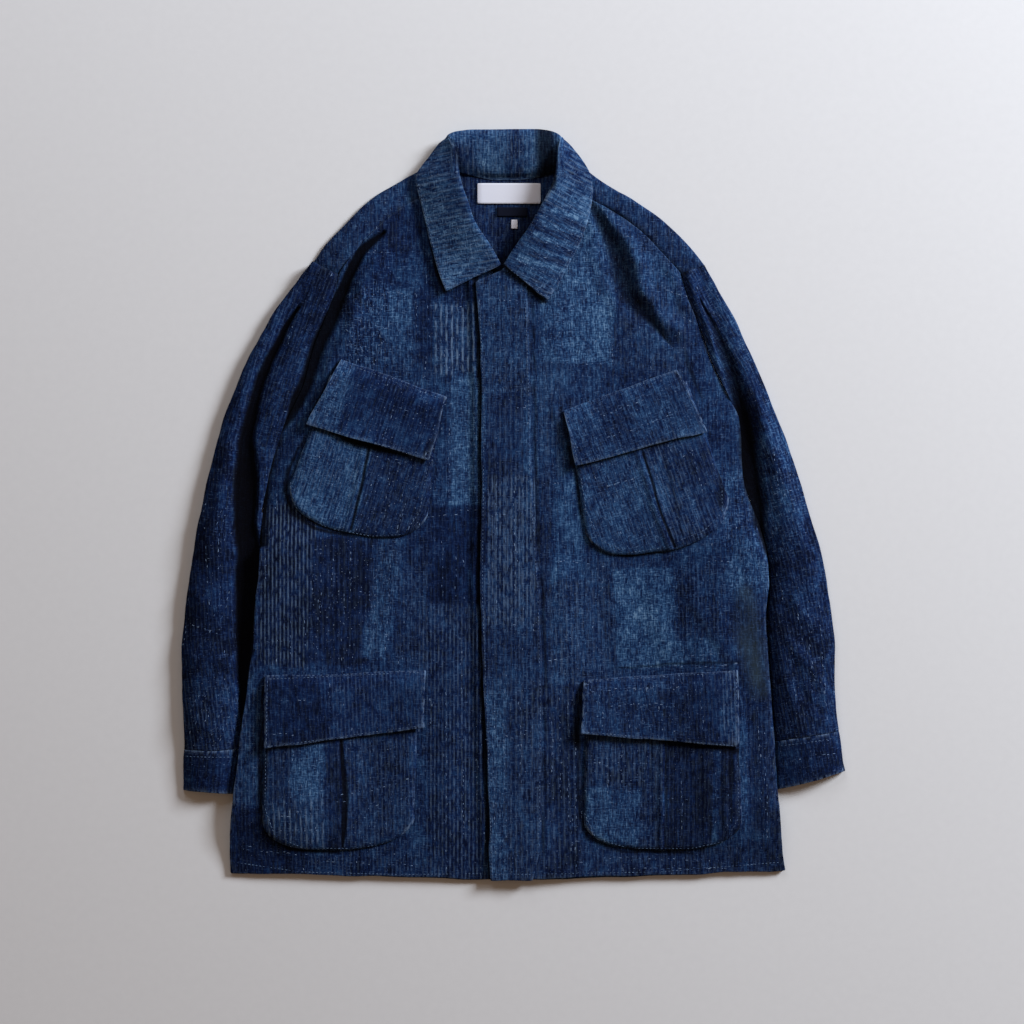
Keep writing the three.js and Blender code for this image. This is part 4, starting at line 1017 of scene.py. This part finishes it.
def stitch_seam(nodes, line):
    spots = []
    for (ax, ay), (bx, by) in zip(line, line[1:]):
        span = math.hypot(bx - ax, by - ay)
        direction = Vector((bx - ax, by - ay, 0)).normalized()
        for k in range(int(span / SEAM_PITCH)):
            t = (k + 0.5) * SEAM_PITCH / span
            hit = drop(ax + (bx - ax) * t, ay + (by - ay) * t, nodes)
            if hit is not None:
                length = SEAM_STITCH * random.uniform(0.8, 1.1)
                spots.append((hit[0], direction, hit[1], length, 0.9, 0.35))
    return spots


seam_spots = [spot for nodes, line in SEAMS for spot in stitch_seam(nodes.split(), line)]
beads("seam_stitches", seam_spots, seam_thread)

# %% [markdown]
# Darning. The scraps are held down with running stitches of thick pale yarn, in rows of dashes
# that follow the threads, mostly down the cloth and sometimes across it. A table gives the rows
# that stand out. A dash is left out now and then, as wear does, and wherever another piece
# or a deep fold covers it.

# %% Running stitches of pale yarn
RUNNING_STITCHES = {
    # piece: from x, y to x, y
    "front_left": [
        (32, 160, 110, 157), (111, 158, 110, 205), (34, 160, 33, 196), (161, 260, 198, 250),
        (169, 241, 202, 231), (173, 216, 202, 205), (31, 25, 71, 23), (48, -62, 110, -68),
        (202, -64, 256, -62), (113, -183, 198, -180), (198, -183, 249, -178), (195, -168, 231, -166),
        (52, -207, 53, -330), (61, -218, 62, -364), (70, -263, 70, -407), (43, -241, 44, -330),
        (272, -218, 276, -330), (280, -252, 284, -375), (97, -395, 209, -398), (119, -407, 242, -407),
    ],
    "front_right": [
        (-155, 237, -107, 237), (-159, 223, -105, 222), (-183, 199, -116, 198), (-129, 241, -129, 191),
        (-109, 238, -109, 182), (-152, 196, -150, 156), (-188, 196, -156, 158), (-96, 230, -95, 185),
        (-82, 113, -40, 111), (-94, -3, -40, -6), (-87, 223, -42, 222), (-73, 95, -72, 6),
        (-224, -75, -222, -115), (-202, -53, -202, -118), (-183, -45, -182, -106), (-161, -90, -160, -165),
        (-152, -57, -159, -162), (-137, -45, -143, -162), (-80, -39, -79, -106), (-64, -50, -64, -104),
        (-56, -59, -54, -109), (-194, -140, -193, -174), (-179, -138, -179, -176),
        (-122, -106, -125, -174), (-76, -207, -75, -409), (-58, -162, -56, -398), (-42, -218, -40, -353),
        (-306, -386, -228, -391), (-217, -400, -105, -404),
    ],
    "fly_placket": [
        (12, 153, 13, 106), (-29, 39, 18, 38), (-20, 26, -19, -62), (0, 17, 2, -106),
        (-22, -218, -20, -398), (-11, -241, -8, -375), (-26, -131, 25, -133), (7, -218, 8, -319),
        (-26, 230, 7, 227),
    ],
    "chest_flap_right": [(-188, 149, -215, 84), (-172, 122, -105, 102)],
    "chest_flap_left": [(86, 95, 153, 120), (97, 73, 182, 102)],
    "chest_pocket_right": [(-215, 62, -228, -17), (-138, 39, -145, -17), (-123, 28, -129, -28)],
    "chest_pocket_left": [(110, 28, 121, -35), (198, 64, 213, 6), (97, 17, 153, 35)],
    "hip_flap_right": [(-206, -198, -204, -232), (-190, -201, -189, -225), (-262, -218, -228, -217)],
    "hip_flap_left": [(97, -207, 186, -201), (101, -225, 182, -221), (209, -201, 210, -252)],
    "hip_pocket_right": [
        (-271, -333, -208, -332), (-268, -348, -210, -347), (-264, -363, -210, -363),
        (-250, -330, -249, -373), (-224, -330, -224, -378), (-161, -319, -114, -306),
        (-165, -339, -116, -326), (-165, -362, -118, -348),
    ],
    "hip_pocket_left": [
        (104, -272, 105, -330), (121, -277, 121, -319), (86, -288, 146, -289), (86, -308, 148, -308),
        (225, -281, 226, -371), (186, -297, 188, -364),
    ],
    "sleeve_right": [
        (-344, -17, -340, -118), (-329, -28, -328, -106), (-362, -258, -344, -218),
        (-352, -263, -333, -218), (-341, -266, -324, -225), (-330, -266, -315, -234),
        (-365, -239, -351, -210),
    ],
    "cuff_right": [(-362, -290, -315, -292)],
    "sleeve_left": [
        (328, -106, 334, -218), (343, -129, 350, -241), (310, -151, 316, -241), (287, 73, 310, -17),
    ],
    "cuff_left": [(303, -288, 361, -277)],
    "collar": [
        (43, 322, 83, 315), (32, 310, 74, 300), (22, 297, 65, 284), (12, 283, 57, 269), (5, 271, 48, 253),
        (-94, 325, -69, 331), (-87, 301, -53, 311), (-81, 280, -38, 292),
    ],
}
YARN_PITCH = 6.4   # from dash to dash
WORN_OFF = 0.3     # share of the dashes that are gone
STRAY = 0.7        # how far a dash strays from its row
STEEP = 0.3        # no dash where the cloth's normal rises less than this
IN_FOLD = 0.2      # nor deeper than this in a fold


def running_stitch(node, start, end, pitch=YARN_PITCH):
    spots = []
    ahead = Vector((end[0] - start[0], end[1] - start[1], 0))
    count = int(ahead.length / pitch)
    for k in range(count):
        if random.random() < WORN_OFF:
            continue
        t = (k + random.uniform(0.3, 0.7)) / count
        x = start[0] + ahead.x * t + random.gauss(0, STRAY)
        y = start[1] + ahead.y * t + random.gauss(0, STRAY)
        hit = drop(x, y, trees)
        if hit is None or hit[2] != node or hit[1].z < STEEP:
            continue
        if max(hollow_at(fold, np.array([x]), np.array([y]))[0] for fold in FOLDS.values()) > IN_FOLD:
            continue
        lean = Vector((random.gauss(0, 0.1), random.gauss(0, 0.1), 0))
        length, width = random.uniform(1.4, 5.2), random.uniform(0.7, 1.3)
        spots.append((hit[0], ahead.normalized() + lean, hit[1], length, width, 0.25))
    return spots


yarn_spots = []
for node, rows in RUNNING_STITCHES.items():
    for ax, ay, bx, by in rows:
        yarn_spots += running_stitch(node, (ax, ay), (bx, by))
print("rows of running stitch:", sum(len(rows) for rows in RUNNING_STITCHES.values()))

# %% [markdown]
# Between those rows lie short ends and pale lumps of hand-spun yarn. They are scattered with a
# seeded random choice, more where the scraps table says so, and lie along the threads.

# %% Scatter more dashes and slubs
PER_SQUARE_CM = 0.27
REACHES = (3, 3, 3, 7, 14, 26, 40)   # lengths in mm, most of them one slub
ACROSS = 0.25                        # share that lies across the threads


def scatter(node):
    spots = []
    low, high = (Vector(corner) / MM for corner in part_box(node))
    count = int((high.x - low.x) * (high.y - low.y) / 100 * PER_SQUARE_CM)
    xs, ys = rng.uniform(low.x, high.x, count), rng.uniform(low.y, high.y, count)
    keep = rng.uniform(0, 1, count) < scraps_at(node, xs, ys)[:, LOOKS.index("white")]
    for x, y in zip(xs[keep], ys[keep]):
        lean = 90 + GRAIN.get(node, 0) + random.gauss(0, 3)
        if node == "collar" or random.random() < ACROSS:
            lean += 90
        reach = random.choice(REACHES) / 2
        dx, dy = reach * math.cos(math.radians(lean)), reach * math.sin(math.radians(lean))
        spots += running_stitch(node, (x - dx, y - dy), (x + dx, y + dy), min(YARN_PITCH, 2 * reach))
    return spots


for node in cloth:
    if not node.endswith(("label", "tab", "back")):
        yarn_spots += scatter(node)
beads("pale_yarn", yarn_spots, slub_thread)

# %% [markdown]
# Floor, light and camera. The floor is a pale board far larger than the view. One large soft
# light stands low on the right, which draws every fold, a weak one helps from above the collar,
# and a warm pale room fills the shadows.

# %% Floor
def painted_board():
    """Matt painted board: pale, slightly cool, without gloss."""
    material, tree, shader = new_material("matt_painted_board")
    place = add(tree, "TexCoord").outputs["Object"]
    grain = add(tree, "TexNoise", {"Vector": place, "Scale": 1 / (9 * MM), "Detail": 3.0})
    shades = {6: linear("#d1d4d7"), 7: linear("#d6d9dc")}
    coat(tree, shader, add(tree, "Mix", {"Factor": grain.outputs["Fac"]} | shades, **COLOURS), 0.9, 0.2)
    return material


bpy.ops.object.select_all(action="DESELECT")
bpy.ops.mesh.primitive_plane_add(size=80, location=(0, 0, -0.0002))
floor = bpy.context.active_object
floor.name = "floor"
bpy.ops.object.transform_apply(location=True)
floor.data.materials.append(painted_board())
print("floor:", round(floor.dimensions.x), "m wide")

# %% Light
def soft_light(name, place, size, power):
    bpy.ops.object.light_add(type="AREA", location=place)
    lamp = bpy.context.active_object
    lamp.name = name
    lamp.data.shape = "SQUARE"
    lamp.data.size = size
    lamp.data.energy = power
    lamp.data.color = linear("#f2f6fd")[:3]
    lamp.rotation_euler = (-Vector(place)).to_track_quat("-Z", "Y").to_euler()   # it aims at the jacket


soft_light("key_light", (3.33, 2.25, 1.79), 1.3, 320)
soft_light("top_light", (-0.5, 2.0, 1.3), 1.2, 16)
world = bpy.data.worlds.new("pale_room")
bpy.context.scene.world = world
world.use_nodes = True
world.node_tree.nodes["Background"].inputs["Color"].default_value = linear("#f7cfae")
world.node_tree.nodes["Background"].inputs["Strength"].default_value = 0.20
bpy.context.scene.view_settings.view_transform = "Standard"
print("lights: 2 and the room")

# %% [markdown]
# The jacket is seen from straight above, so the camera looks down from a little over two metres,
# with a lens that takes in the same width of floor as the photograph.

# %% Camera
HEIGHT = 2.2            # of the camera over the floor, in metres
CLOTH_HEIGHT = 0.006    # of the cloth, where the width is measured
WIDTH = 1.1469          # of what the picture takes in there
SENSOR = 36             # mm
bpy.ops.object.camera_add(location=(-0.0017, -0.0079, HEIGHT), rotation=(0, 0, 0))
camera = bpy.context.active_object
camera.data.sensor_width = SENSOR
camera.data.lens = SENSOR * (HEIGHT - CLOTH_HEIGHT) / WIDTH
camera.data.clip_end = 50
bpy.context.scene.camera = camera
print("camera lens:", round(camera.data.lens, 1), "mm")
